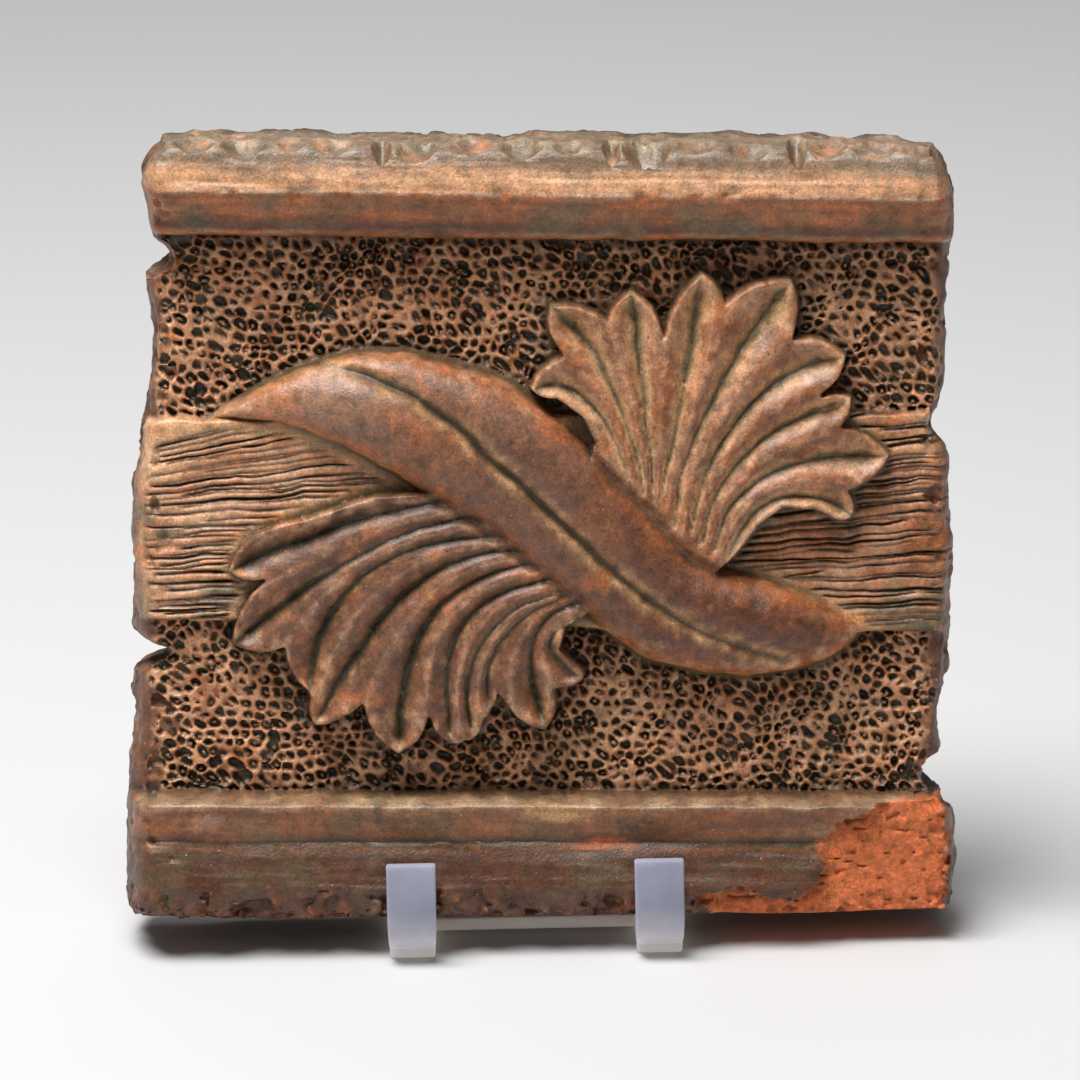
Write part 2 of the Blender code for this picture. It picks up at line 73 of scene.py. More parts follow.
def tile_point(u, v, w):
    """A point of the tile in the part's frame, in metres."""
    up = v + HALF_HEIGHT
    return Vector((
        (u + TILE_CENTRE_X) * MM,
        (up * math.sin(LEAN) - w * math.cos(LEAN) - PART_CENTRE_Y) * MM,
        (SEAT_HEIGHT + up * math.cos(LEAN) + w * math.sin(LEAN)) * MM,
    ))


def side_point(v, w):
    """The same, seen from the side in (y, z), in mm."""
    point = tile_point(0, v, w) / MM
    return point.y, point.z


def bent_line(start, bend, end, count=12):
    """Points of a quadratic Bezier curve."""
    t = np.linspace(0, 1, count)[:, None]
    start, bend, end = (np.array(p, float) for p in (start, bend, end))
    return (1 - t) ** 2 * start + 2 * t * (1 - t) * bend + t**2 * end


def arc(centre, radius, start, end, count):
    turns = [math.radians(t) for t in np.linspace(start, end, count)]
    return [(centre[0] + radius * math.cos(t), centre[1] + radius * math.sin(t)) for t in turns]


def arm_outline():
    """Side view of an arm in (y, z): foot, heel, back rest, seat, lip and the lip's curl."""
    heel_y, foot_y = HEEL_Y - PART_CENTRE_Y, FOOT_Y - PART_CENTRE_Y
    rest_back = side_point(SEAT_V + 14, -GAP - REST_THICK)
    lip_low = side_point(-HALF_HEIGHT + 1.5, LIP_OUTER_W)
    outline = [(foot_y + 0.8, 0), (heel_y - 1.0, 0)]
    outline += arc((heel_y - 1.6, 1.6), 1.6, -60, 90, 8)
    outline += [(rest_back[0] + 12, HEEL_THICK), (rest_back[0] + 8, HEEL_THICK + 0.8)]
    outline += [(rest_back[0] + 5, HEEL_THICK + 2.2), (rest_back[0] + 2.8, HEEL_THICK + 4.1)]
    outline += [(rest_back[0] + 1.3, HEEL_THICK + 6.5), (rest_back[0] + 0.5, HEEL_THICK + 9.2), rest_back]
    outline += [side_point(REST_TOP_V - 1.5, -GAP - REST_THICK)]
    outline += [side_point(REST_TOP_V - 0.5, -GAP - REST_THICK + 0.4)]
    outline += [side_point(REST_TOP_V, -GAP - REST_THICK + 1.2), side_point(REST_TOP_V, -GAP - 1.2)]
    outline += [side_point(REST_TOP_V - 0.5, -GAP - 0.4), side_point(REST_TOP_V - 1.5, -GAP)]
    outline += [side_point(SEAT_V, -GAP), side_point(SEAT_V, LIP_INNER_W)]
    outline += [side_point(LIP_TOP_V - 1.0, LIP_INNER_W), side_point(LIP_TOP_V - 0.3, LIP_INNER_W + 0.3)]
    outline += [side_point(LIP_TOP_V, LIP_INNER_W + 1.0), side_point(LIP_TOP_V, LIP_OUTER_W - 1.2)]
    outline += [side_point(LIP_TOP_V - 0.35, LIP_OUTER_W - 0.35)]
    outline += [side_point(LIP_TOP_V - 1.2, LIP_OUTER_W), lip_low]
    bend = (lip_low[0] - math.sin(LEAN) + 0.5, FOOT_HEIGHT + 2.0)
    curl = bent_line(lip_low, bend, (foot_y - 0.4, FOOT_HEIGHT), 10)
    return outline + [tuple(point) for point in curl[1:]] + [(foot_y, 0.9)]


def bar_box(name, u_low, u_high, grow, top_v):
    """A box along the crossbar, grown by a clearance on its front, back and underside."""
    low_v = SEAT_V - GAP - BAR_THICK - grow
    bm = bmesh.new()
    bmesh.ops.create_cube(bm, size=1)
    size = Vector((u_high - u_low, top_v - low_v, BAR_FRONT_W - BAR_BACK_W + 2 * grow)) * MM
    bmesh.ops.scale(bm, vec=size, verts=bm.verts)
    mesh = bpy.data.meshes.new(name)
    bm.to_mesh(mesh)
    bm.free()
    box = bpy.data.objects.new(name, mesh)
    box.location = tile_point((u_low + u_high) / 2, (low_v + top_v) / 2, (BAR_FRONT_W + BAR_BACK_W) / 2)
    box.rotation_euler = (math.pi / 2 - LEAN, 0, 0)
    bpy.context.scene.collection.objects.link(box)
    return box


def settle(piece):
    """Applies a piece's modifiers and its place, so that its mesh lies in the part's frame."""
    bpy.context.view_layer.update()
    seen = piece.evaluated_get(bpy.context.evaluated_depsgraph_get())
    mesh = bpy.data.meshes.new_from_object(seen)
    mesh.transform(piece.matrix_world)
    piece.modifiers.clear()
    piece.data = mesh
    piece.matrix_world = Matrix()
    return piece


def moulded_arm(name, middle_u):
    """Its side view drawn out to its width, with rounded edges, the bar's notch and a narrower foot."""
    outline = arm_outline()
    bm = bmesh.new()
    side = bm.faces.new([bm.verts.new((-ARM_WIDTH / 2 * MM, y * MM, z * MM)) for y, z in outline])
    grown = bmesh.ops.extrude_face_region(bm, geom=[side])["geom"]
    far = [part for part in grown if isinstance(part, bmesh.types.BMVert)]
    bmesh.ops.translate(bm, vec=(ARM_WIDTH * MM, 0, 0), verts=far)
    bmesh.ops.recalc_face_normals(bm, faces=bm.faces)
    mesh = bpy.data.meshes.new(name)
    bm.to_mesh(mesh)
    bm.free()
    arm = bpy.data.objects.new(name, mesh)
    arm.location.x = (middle_u + TILE_CENTRE_X) * MM
    bpy.context.scene.collection.objects.link(arm)
    edges = arm.modifiers.new("moulded edges", "BEVEL")
    edges.width = ARM_BEVEL * MM
    edges.segments = 4
    edges.limit_method = "ANGLE"
    edges.angle_limit = math.radians(50)
    notch = bar_box(name + "_notch", middle_u - ARM_WIDTH, middle_u + ARM_WIDTH, GAP, SEAT_V + 5)
    cut = arm.modifiers.new("bar notch", "BOOLEAN")
    cut.operation = "DIFFERENCE"
    cut.solver = "EXACT"
    cut.object = notch
    settle(arm)
    bpy.data.objects.remove(notch, do_unlink=True)
    middle_x = (middle_u + TILE_CENTRE_X) * MM
    for vert in arm.data.vertices:
        low = 1 - min(max(vert.co.z / (12 * MM), 0), 1)
        share = 1 - low * FOOT_NARROWING / (ARM_WIDTH / 2)
        vert.co.x = middle_x + (vert.co.x - middle_x) * share
    arm.data.shade_smooth()
    arm.data.set_sharp_from_angle(angle=SOFT_EDGE)
    return arm


def paint(red, green, blue):
    """A colour given from 0 to 255, as the shaders take it."""
    shares = [part / 255 for part in (red, green, blue)]
    return [((s + 0.055) / 1.055) ** 2.4 if s > 0.04 else s / 12.92 for s in shares] + [1.0]


def place(tree, kind, values=None, **settings):
    """Adds a shader node and sets or links its inputs by name or number."""
    node = tree.nodes.new(kind)
    for key, value in settings.items():
        setattr(node, key, value)
    for key, value in (values or {}).items():
        if isinstance(value, bpy.types.NodeSocket):
            tree.links.new(value, node.inputs[key])
        else:
            node.inputs[key].default_value = value
    return node


def sum_of(tree, operation, *values, **settings):
    """The result of one sum on values or sockets."""
    return place(tree, "ShaderNodeMath", dict(enumerate(values)), operation=operation, **settings).outputs[0]


def blended(tree, share, colour, other, blend_type="MIX"):
    """A share of another colour blended into a colour."""
    mix = place(tree, "ShaderNodeMix", {"Factor": share, "A": colour, "B": other},
                data_type="RGBA", blend_type=blend_type)
    return mix.outputs["Result"]


def new_effect(name, takes, gives):
    """A shader node group with named inputs and outputs, and the nodes at its two ends."""
    group = bpy.data.node_groups.new(name, "ShaderNodeTree")
    kinds = {"value": "NodeSocketFloat", "colour": "NodeSocketColor", "vector": "NodeSocketVector"}
    for label, (kind, default) in takes.items():
        socket = group.interface.new_socket(label, in_out="INPUT", socket_type=kinds[kind])
        if default is not None:
            socket.default_value = default
    for label, kind in gives.items():
        group.interface.new_socket(label, in_out="OUTPUT", socket_type=kinds[kind])
    return group, group.nodes.new("NodeGroupInput").outputs, group.nodes.new("NodeGroupOutput").inputs


def mottling_effect():
    """Soft cloudy changes between two colours, in patches of a size in mm."""
    group, given, made = new_effect(
        "mottling",
        {"Place": ("vector", None), "Patch size": ("value", 6.0), "Contrast": ("value", 2.0),
         "Colour": ("colour", (1, 1, 1, 1)), "Other colour": ("colour", (0, 0, 0, 1)),
         "Share": ("value", 0.5)},
        {"Colour": "colour"})
    scale = sum_of(group, "DIVIDE", 1.0, given["Patch size"])
    cloud = place(group, "ShaderNodeTexNoise",
                  {"Vector": given["Place"], "Scale": scale, "Detail": 4.0, "Roughness": 0.6})
    centred = sum_of(group, "SUBTRACT", cloud.outputs["Fac"], 0.5)
    mask = sum_of(group, "MULTIPLY_ADD", centred, given["Contrast"], given["Share"], use_clamp=True)
    mixed = blended(group, mask, given["Colour"], given["Other colour"])
    group.links.new(mixed, made["Colour"])
    return group


def speckle_effect():
    """Scattered small specks, as a mask: 1 on a speck. Size and spacing are in mm."""
    group, given, made = new_effect(
        "specks",
        {"Place": ("vector", None), "Spacing": ("value", 2.0), "Speck size": ("value", 0.2),
         "Share": ("value", 0.5)},
        {"Mask": "value"})
    scale = sum_of(group, "DIVIDE", 1.0, given["Spacing"])
    reach = sum_of(group, "DIVIDE", given["Speck size"], given["Spacing"])
    ragged = place(group, "ShaderNodeTexNoise", {"Vector": given["Place"], "Scale": 1.6, "Detail": 1.0})
    pushed = place(group, "ShaderNodeVectorMath",
                   {0: ragged.outputs["Color"], 1: (0.9, 0.9, 0.9), 2: given["Place"]},
                   operation="MULTIPLY_ADD")
    cells = place(group, "ShaderNodeTexVoronoi", {"Vector": pushed.outputs[0], "Scale": scale})
    near = sum_of(group, "SUBTRACT", reach, cells.outputs["Distance"])
    disc = sum_of(group, "MULTIPLY", near, 14.0, use_clamp=True)
    draw = place(group, "ShaderNodeSeparateColor", {0: cells.outputs["Color"]})
    some = sum_of(group, "LESS_THAN", draw.outputs[0], given["Share"])
    group.links.new(sum_of(group, "MULTIPLY", disc, some), made["Mask"])
    return group


def millimetres(tree):
    """The shading point in mm, from the object's own coordinates."""
    here = place(tree, "ShaderNodeTexCoord").outputs["Object"]
    return place(tree, "ShaderNodeVectorMath", {0: here, "Scale": 1 / MM}, operation="SCALE").outputs[0]


MOTTLING = mottling_effect()
SPECKS = speckle_effect()
CLEARNESS = 0.12  # of the plastic


def mottled(tree, where, size, contrast, colour, other, share=0.5):
    """The mottling effect with its own values; other takes over more as share grows."""
    values = {"Place": where, "Patch size": size, "Contrast": contrast, "Colour": colour,
              "Other colour": other, "Share": share}
    return place(tree, "ShaderNodeGroup", values, node_tree=MOTTLING).outputs["Colour"]


def specks(tree, where, spacing, size, share):
    values = {"Place": where, "Spacing": spacing, "Speck size": size, "Share": share}
    return place(tree, "ShaderNodeGroup", values, node_tree=SPECKS).outputs["Mask"]


def new_material(name):
    made = bpy.data.materials.new(name)
    made.use_nodes = True
    return made, made.node_tree, made.node_tree.nodes["Principled BSDF"]


def frosted_plastic(name, colour, cloudy, painted_glow):
    """Milky translucent plastic with a faint orange-peel, and a painted glow near the pale floor."""
    made, tree, shader = new_material(name)
    where = millimetres(tree)
    tree.links.new(mottled(tree, where, 9.0, 1.2, colour, cloudy, 0.4), shader.inputs["Base Color"])
    # Painted glow: an emission that grows towards the floor, in place of light shining through the plastic.
    height = place(tree, "ShaderNodeSeparateXYZ", {0: where}).outputs["Z"]
    low = place(tree, "ShaderNodeMapRange", {"Value": height, "From Min": 14.0, "From Max": 1.0})
    painted_glow_colour = blended(tree, low.outputs[0], (0, 0, 0, 1), painted_glow)
    tree.links.new(painted_glow_colour, shader.inputs["Emission Color"])
    shader.inputs["Emission Strength"].default_value = 1.0
    peel = place(tree, "ShaderNodeTexNoise", {"Vector": where, "Scale": 0.9, "Detail": 3.0})
    rough = place(tree, "ShaderNodeMapRange", {"Value": peel.outputs["Fac"], "To Min": 0.3, "To Max": 0.42})
    tree.links.new(rough.outputs[0], shader.inputs["Roughness"])
    bump = place(tree, "ShaderNodeBump",
                 {"Height": peel.outputs["Fac"], "Strength": 0.08, "Distance": 0.2 * MM})
    tree.links.new(bump.outputs[0], shader.inputs["Normal"])
    shader.inputs["Transmission Weight"].default_value = CLEARNESS
    shader.inputs["Subsurface Weight"].default_value = 0.5
    shader.inputs["Subsurface Radius"].default_value = (1.0, 1.0, 1.0)
    shader.inputs["Subsurface Scale"].default_value = 4 * MM
    shader.inputs["IOR"].default_value = 1.49
    return made


# Each plastic's last colour is its painted glow near the floor.
arm_plastic = frosted_plastic("frosted plastic of the arms", paint(140, 144, 164), paint(176, 176, 190),
                              paint(144, 136, 128))
ARM_NAMES, ARM_NODES = ("lip_arm_left", "lip_arm_right"), ("easel_arm_left", "easel_arm_right")
for arm_name, arm_node, arm_u in zip(ARM_NAMES, ARM_NODES, ARM_U):
    arm = moulded_arm(arm_name, arm_u)
    arm.data.materials.clear()
    arm.data.materials.append(arm_plastic)
    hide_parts(arm_node)
    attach(arm, "root")

# The easel's crossbar.
# A flat strip of the same plastic that lies in notches under both seats and keeps the arms parallel.
# It is cut from a sheet, so its ends are square and only slightly eased.

BAR_SETBACK = 0.8  # of the bar's ends from the arms' outer sides

reach = ARM_WIDTH / 2 - BAR_SETBACK
bar = bar_box("spacer_bar", ARM_U[0] - reach, ARM_U[1] + reach, 0, SEAT_V - GAP)
eased = bar.modifiers.new("eased edges", "BEVEL")
eased.width = 0.4 * MM
eased.segments = 3
settle(bar)
bar.data.shade_smooth()
bar.data.set_sharp_from_angle(angle=SOFT_EDGE)
# Painted light: the bar's plastic is painted paler than the arms' to offset the tile's shade on it.
bar_plastic = frosted_plastic("frosted plastic of the bar", paint(214, 202, 192), paint(224, 214, 204),
                              paint(52, 50, 48))
bar.data.materials.append(bar_plastic)
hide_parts("easel_crossbar")
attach(bar, "root")

# The tile.
# One slab of red terracotta, cut with a wire on its flat back, modelled and carved by hand on its
# face, covered with a thin dark glaze and fired. Later it was broken out of a roof and worn.

LEFT_EDGE, LEFT_SLOPE = -95.1, 0.048  # u of the edge at mid height, and its change with v
RIGHT_EDGE, RIGHT_SLOPE = 96.1, 0.008
TOP_EDGE, TOP_SLOPE = 91.6, -0.027
CARVING_ACROSS, CARVING_UP = (1.005, -0.0375), (0.0269, 0.997)  # axes of the carving against u and v
TAPER = 6e-5  # of the carving, for each mm to the right
RIM = 10.0  # w where the rounded front edge meets the broken sides
SIDE_ROUND, TOP_ROUND, BOTTOM_ROUND = (5.5, 4.0), 3.0, (4.0, 1.6)  # pairs on the left and the right
EDGE_ZONE = 24.0  # width of the border that follows the uneven edges
BACK_INSET = 1.4
# Places where an edge swells or is broken in: place, swelling, half length
LEFT_SPOTS = [(74, -1.2, 6), (66, -6.0, 3), (42, -3.2, 15), (4, 1.2, 14), (-28, -7.5, 2.8), (-62, 0.8, 12),
              (-80, 0.6, 6)]
RIGHT_SPOTS = [(71, 1.5, 9), (22.5, -4.0, 4.5), (32, -1.0, 8), (-8, 1.2, 9), (-61, -6.2, 4), (-48, -2.4, 8),
               (-78, 1.6, 8)]
TOP_SPOTS = [(-79, 0.6, 6), (-54, 0.6, 9), (6, 0.9, 10), (41, 0.8, 7), (62, 0.7, 6), (80, 0.2, 6)]
BOTTOM_SPOTS = [(-96, -1.2, 22), (60, 0.7, 24)]
LEFT_CORNERS, RIGHT_CORNERS = (4.5, 6.5), (0.8, 13.0)  # radii at the bottom and the top


def ease(low, high, x):
    """0 up to low and 1 from high on, with a soft ramp between them."""
    t = np.clip((x - low) / (high - low), 0, 1)
    return t * t * (3 - 2 * t)


def soft_max(x, y, k):
    """The larger of two heights, with a fillet of about k where they meet."""
    h = np.clip(0.5 + 0.5 * (x - y) / k, 0, 1)
    return y + (x - y) * h + k * h * (1 - h)


def grain(points, size, octaves=1, seed=0):
    """Smooth random heights from about -1 to 1 at every point, in lumps of a size in mm."""
    dims = points.shape[-1]
    table = np.random.default_rng(seed).uniform(-1, 1, (32,) * dims)
    total = 0
    for octave in range(octaves):
        scaled = points / size * 2**octave + 7.37 * octave + 400
        low = np.floor(scaled).astype(int)
        t = scaled - low
        t = t * t * (3 - 2 * t)
        value = 0
        for corner in itertools.product((0, 1), repeat=dims):
            spot = tuple((low[..., i] + corner[i]) % 32 for i in range(dims))
            share = np.prod([t[..., i] if corner[i] else 1 - t[..., i] for i in range(dims)], axis=0)
            value = value + table[spot] * share
        total = total + value * 0.5**octave
    return total


def bumps(t, spots):
    """Total height at t of rounded bumps, each given by its place, height and half width."""
    return sum(height * np.exp(-(((t - place) / half) ** 2)) for place, height, half in spots)


def corner_pull(v, radii):
    """How far a side edge draws in near its two ends, to round the slab's corners."""
    pulls = []
    for beyond, radius in ((v + HALF_HEIGHT, radii[0]), (TOP_EDGE - v, radii[1])):
        near = np.clip(1 - beyond / radius, 0, 0.95)
        pulls.append(radius * 0.9 * (1 - np.sqrt(1 - near**2)))
    return pulls[0] + pulls[1]


def left_edge(v):
    return LEFT_EDGE + LEFT_SLOPE * v - bumps(v, LEFT_SPOTS) + corner_pull(v, LEFT_CORNERS)


def right_edge(v):
    return RIGHT_EDGE + RIGHT_SLOPE * v + bumps(v, RIGHT_SPOTS) - corner_pull(v, RIGHT_CORNERS)


def bottom_edge(u):
    """Flat between the easel's arms, where the tile stands, and uneven beyond them."""
    beyond = np.maximum(ease(-40, -60, u), ease(34, 50, u))
    return -HALF_HEIGHT - bumps(u, BOTTOM_SPOTS) * beyond


def to_carving_axes(u, v):
    """Place (a, b) in the carving's own tilted axes of a point (u, v) of the slab."""
    grown = 1 / (1 - TAPER * u)
    a = (CARVING_ACROSS[0] * u + CARVING_ACROSS[1] * v) * grown
    return a, (CARVING_UP[0] * u + CARVING_UP[1] * v) * grown


# Its mouldings.
# An overhanging band and a hollow under-face run along the top of the same clay, and a lip, a sloping
# face and a flat foot along the bottom. They were run with a wooden template, then trimmed by hand.

GROUND, FACE_TOP, UPPER_BAND, ARRIS = 23.0, 31.5, 34.0, 35.5
LIP, CREASE, LOWER_BAND = 33.5, 30.5, 33.0
FRONT_TOP_B, BAND_B, ARRIS_B, SOFFIT_B = 90.5, 84.5, 79.0, 68.4
LIP_TOP_B, LIP_B, CREASE_B, LOWER_BAND_B = -63.4, -64.6, -73.0, -83.0
# The worn lip, a dent in the crease and a chip of the foot: middle, half sizes, depth
FACE_DENTS = [(5, -65.0, 7.5, 2.2, 1.2), (17.6, -72.9, 4.5, 1.0, 0.5), (-65, -86, 4, 2, 1.0)]


def mouldings(b):
    """Section through the slab's face from the bottom edge to the top one, without the carving."""
    foot = [(-95, LOWER_BAND - 2), (-90, LOWER_BAND), (LOWER_BAND_B - 0.6, LOWER_BAND + 1.0),
            (LOWER_BAND_B, LOWER_BAND + 0.7), (CREASE_B - 3.5, LOWER_BAND - 0.9),
            (CREASE_B - 0.9, LOWER_BAND - 1.9)]
    face = [(CREASE_B, CREASE), (CREASE_B + 1.2, CREASE + 0.5), (LIP_B - 0.5, LIP - 0.1), (LIP_B, LIP),
            (LIP_B + 0.5, LIP - 0.6), (LIP_TOP_B, LIP - 3.5), (LIP_TOP_B + 1.2, GROUND)]
    under = [(SOFFIT_B - 0.8, GROUND), (SOFFIT_B, 28.6), (69.0, 30.4), (70.2, 31.0), (71.5, 31.4),
             (74.0, 33.2), (77.5, 34.8), (78.4, 35.4), (ARRIS_B, ARRIS)]
    band = [(79.7, 35.1), (82.0, 34.7), (BAND_B, UPPER_BAND), (87.5, 33.1), (FRONT_TOP_B, FACE_TOP),
            (95, FACE_TOP - 2)]
    heights, levels = zip(*foot, *face, *under, *band)
    return np.interp(b, heights, levels)


def tool_marks(a, b):
    """Long shallow striations that the template left along the mouldings."""
    lines = grain(np.stack([a / 34, b / 0.9], axis=-1), 1, 2, 11)
    waves = grain(np.stack([a / 16, b / 4.0], axis=-1), 1, 2, 12)
    on = ease(SOFFIT_B - 1, SOFFIT_B + 1, b) + ease(LIP_TOP_B + 1, LIP_TOP_B - 1, b)
    return on * (0.13 * lines + 0.26 * waves)


def arris_nicks(a, b):
    """Small chips along the top band's arris and the bottom lip."""
    rng = np.random.default_rng(21)
    loss = 0
    for line, count, deep in ((ARRIS_B, 46, 0.7), (LIP_B + 0.4, 26, 0.6), (SOFFIT_B + 1.0, 20, 0.6)):
        nicks = zip(rng.uniform(-94, 96, count), rng.uniform(0.6, 3.2, count), rng.uniform(0.1, 1, count))
        for middle, half, depth in nicks:
            shift = rng.uniform(-0.5, 0.5)
            near = np.exp(-(((a - middle) / half) ** 2) - (((b - line - shift) / (0.7 + 0.25 * half)) ** 2))
            loss = loss + deep * depth**2 * near
    for middle_a, middle_b, half_a, half_b, depth in FACE_DENTS:
        loss = loss + depth * np.exp(-(((a - middle_a) / half_a) ** 2) - (((b - middle_b) / half_b) ** 2))
    return loss


# Its ground.
# Two combed bands across the middle are scratched into the clay with a toothed tool. Above and below
# them lie stippled fields, pressed all over with a hollow punch that leaves a stud in most pits.

COMB_LEVEL = 26.0
COMB_LEFT, COMB_RIGHT = (-21.8, 25.2), (-24.0, 28.4)
PIT_SPACING, PIT_DEPTH = 2.9, 2.0
ROW_SPACING = 0.87  # of the pits' rows, for a spacing of 1 along them
# Slopes of the scratches from the bottom of a band to its top, the band's two ends, and their spacing
LEFT_COMBING = {"span": (-95, -16), "steepness": [0.02, 0.08, 0.04, 0.14, 0.24], "spacing": 1.0, "seed": 51}
RIGHT_COMBING = {"span": (38, 98), "steepness": [0.02, 0.05, 0.08, 0.05, 0.07], "spacing": 1.15, "seed": 52}


def combed_bands(a, b):
    """Level of the ground between the mouldings: combed bands stand above the stippled fields."""
    share = ease(-30, 30, a)
    low = COMB_LEFT[0] + share * (COMB_RIGHT[0] - COMB_LEFT[0])
    high = COMB_LEFT[1] + share * (COMB_RIGHT[1] - COMB_LEFT[1])
    band = ease(low - 0.8, low + 0.8, b) * (1 - ease(high - 0.8, high + 0.8, b))
    return GROUND + (COMB_LEVEL - GROUND) * band


def combed_lines(a, b, low, high, span, steepness, spacing, seed):
    """Depth of one band's scratches: wavy lines that run together here and there."""
    rng = np.random.default_rng(seed)
    stations = np.linspace(span[0], span[1], 15)
    count = round((high - low) / spacing)
    depth = np.zeros_like(a)
    drift = np.cumsum(rng.normal(0, 0.24, stations.size))
    for i in range(-3, count + 3):
        share = (i + 0.5) / count
        slope = np.interp(share, [0, 0.25, 0.5, 0.8, 1], steepness)
        wander = np.cumsum(rng.normal(0, 0.15, stations.size)) + drift
        middle = low + (high - low) * share + rng.normal(0, 0.2)
        height = middle + slope * (stations - (span[0] + span[1]) / 2) + wander - wander.mean()
        start, stop = rng.uniform(-0.2, 0.16), rng.uniform(0.8, 1.2)
        if rng.random() < 0.3:
            start, stop = sorted(rng.uniform(0, 1, 2))
            height = height + rng.normal(0, 0.07) * (stations - stations.mean()) + 0.5 * spacing
        along = (a - span[0]) / (span[1] - span[0])
        on = ease(start - 0.03, start + 0.02, along) * ease(stop + 0.03, stop - 0.02, along)
        off = b - np.interp(a, stations, height)
        width, deep = rng.uniform(0.24, 0.42), 0.4 + 0.95 * rng.random()
        press = 0.85 + 0.25 * np.sin(a * rng.uniform(0.1, 0.3) + rng.uniform(0, 6))
        depth = np.maximum(depth, deep * on * press * np.exp(-((off / width) ** 2)))
    return depth


def pit_pattern(a, b):
    """Distances in mm: to each pit's middle, to the wall between it and the next, and a number per pit."""
    rng = np.random.default_rng(5)
    jitter = rng.uniform(-0.5, 0.5, (128, 128, 2)) * 0.76
    draws = rng.random((128, 128, 3))
    warp = 1.1 * grain(np.stack([a, b], axis=-1), 9, 2, 31)
    x, y = (a + warp + 0.25 * b) / PIT_SPACING, (b - warp) / (PIT_SPACING * ROW_SPACING)
    row, best, second = np.floor(y), np.full(a.shape, 9.0), np.full(a.shape, 9.0)
    chosen, to_middle = np.zeros((*a.shape, 3)), np.zeros((*a.shape, 2))
    for dj, di in itertools.product((-1, 0, 1), (-2, -1, 0, 1, 2)):
        j = row + dj
        i = np.floor(x - 0.5 * (j % 2)) + di
        cell = (i.astype(int) % 128, j.astype(int) % 128)
        dx = x - (i + 0.5 + 0.5 * (j % 2) + jitter[cell][..., 0])
        dy = (y - (j + 0.5 + jitter[cell][..., 1])) * ROW_SPACING
        gap = np.hypot(dx, dy)
        closer = gap < best
        second = np.where(closer, best, np.minimum(second, gap))
        chosen = np.where(closer[..., None], draws[cell], chosen)
        to_middle = np.where(closer[..., None], np.stack([dx, dy], axis=-1), to_middle)
        best = np.where(closer, gap, best)
    return to_middle * PIT_SPACING, (second - best) / 2 * PIT_SPACING, chosen


def stipple(a, b):
    """Height change of the punched ground, and masks of its ridges and studs."""
    to_middle, to_wall, draw = pit_pattern(a, b)
    here = np.stack([a, b], axis=-1)
    ragged = 0.2 * grain(here, 1.3, 2, 32)
    thick = 0.2 * grain(here, 8, 2, 37) - 0.5 * ease(0.35, 0.8, grain(here, 4.2, 2, 36))
    off_middle = np.hypot(to_middle[..., 0], to_middle[..., 1]) / (0.85 + 0.3 * draw[..., 2])
    round_pit = ease(1.75, 1.25, off_middle + ragged)
    pit = ease(thick, thick + 0.85, to_wall + ragged) * round_pit * (0.62 + 0.38 * draw[..., 1])
    stud_x = to_middle[..., 0] - 0.3 * (draw[..., 2] - 0.5)
    stud_y = to_middle[..., 1] + 0.25
    size = 0.48 + 0.14 * draw[..., 1]
    stud = (draw[..., 0] < 0.58) * ease(1.2, 0.7, np.hypot(stud_x, stud_y) / size + 0.6 * ragged)
    level = PIT_DEPTH * (0.62 * stud * pit - pit) + 0.42 * grain(here, 3.4, 2, 38)
    return level, pit, stud * pit


# Its big S-shaped leaf.
# It crosses the tile from the upper left to the lower right. It was laid on as a roll of clay,
# rounded off and split by one deep furrow along its midrib.

LEAF_UPPER = [(-79, 25), (-61, 36), (-42, 41.8), (-22, 39.6), (-3, 32), (23, 10), (40, -6), (62, -13.5),
              (78, -23)]
LEAF_LOWER = [(-79, 25), (-60, 23.5), (-41, 15.6), (-26, 6.5), (-9, -4.5), (9, -19.5), (26, -31), (49, -35),
              (68, -31), (78, -23)]
MIDRIB = [(-55, 39), (-42, 36.7), (-25, 28.3), (-5, 11), (17, -8.7), (35, -21.3), (59, -30.5)]
LEAF_CROWN, LEAF_BASE = 12.6, 23.6
LEAF_FILLETS = 0.5, 4.5  # on the stippled ground, and added to that on the combed bands
FURROW_DEPTH, FURROW_WIDTH = 1.7, 1.3


def smooth_curve(points, per_span=6):
    """Points of a Catmull-Rom curve through the given ones."""
    p = np.array(points, float)
    p = np.vstack([2 * p[0] - p[1], p, 2 * p[-1] - p[-2]])
    t = np.linspace(0, 1, per_span, endpoint=False)[:, None]
    spans = []
    for p0, p1, p2, p3 in zip(p, p[1:], p[2:], p[3:]):
        spans.append(0.5 * (2 * p1 + (p2 - p0) * t + (2 * p0 - 5 * p1 + 4 * p2 - p3) * t**2
                            + (3 * p1 - p0 - 3 * p2 + p3) * t**3))
    return np.vstack(spans + [p[-2][None]])


def distance_to(line, a, b):
    """Distance from every point (a, b) to a line of points."""
    best = np.full(a.shape, 1e9)
    for (x0, y0), (x1, y1) in zip(line, line[1:]):
        dx, dy = x1 - x0, y1 - y0
        t = np.clip(((a - x0) * dx + (b - y0) * dy) / (dx * dx + dy * dy + 1e-12), 0, 1)
        best = np.minimum(best, (a - x0 - t * dx) ** 2 + (b - y0 - t * dy) ** 2)
    return np.sqrt(best)


def inside(outline, a, b):
    """True for every point (a, b) inside a closed outline."""
    found = np.zeros(a.shape, bool)
    for (x0, y0), (x1, y1) in zip(outline, np.roll(outline, -1, axis=0)):
        if y0 != y1:
            found ^= ((y0 > b) != (y1 > b)) & (a < (x1 - x0) * (b - y0) / (y1 - y0) + x0)
    return found


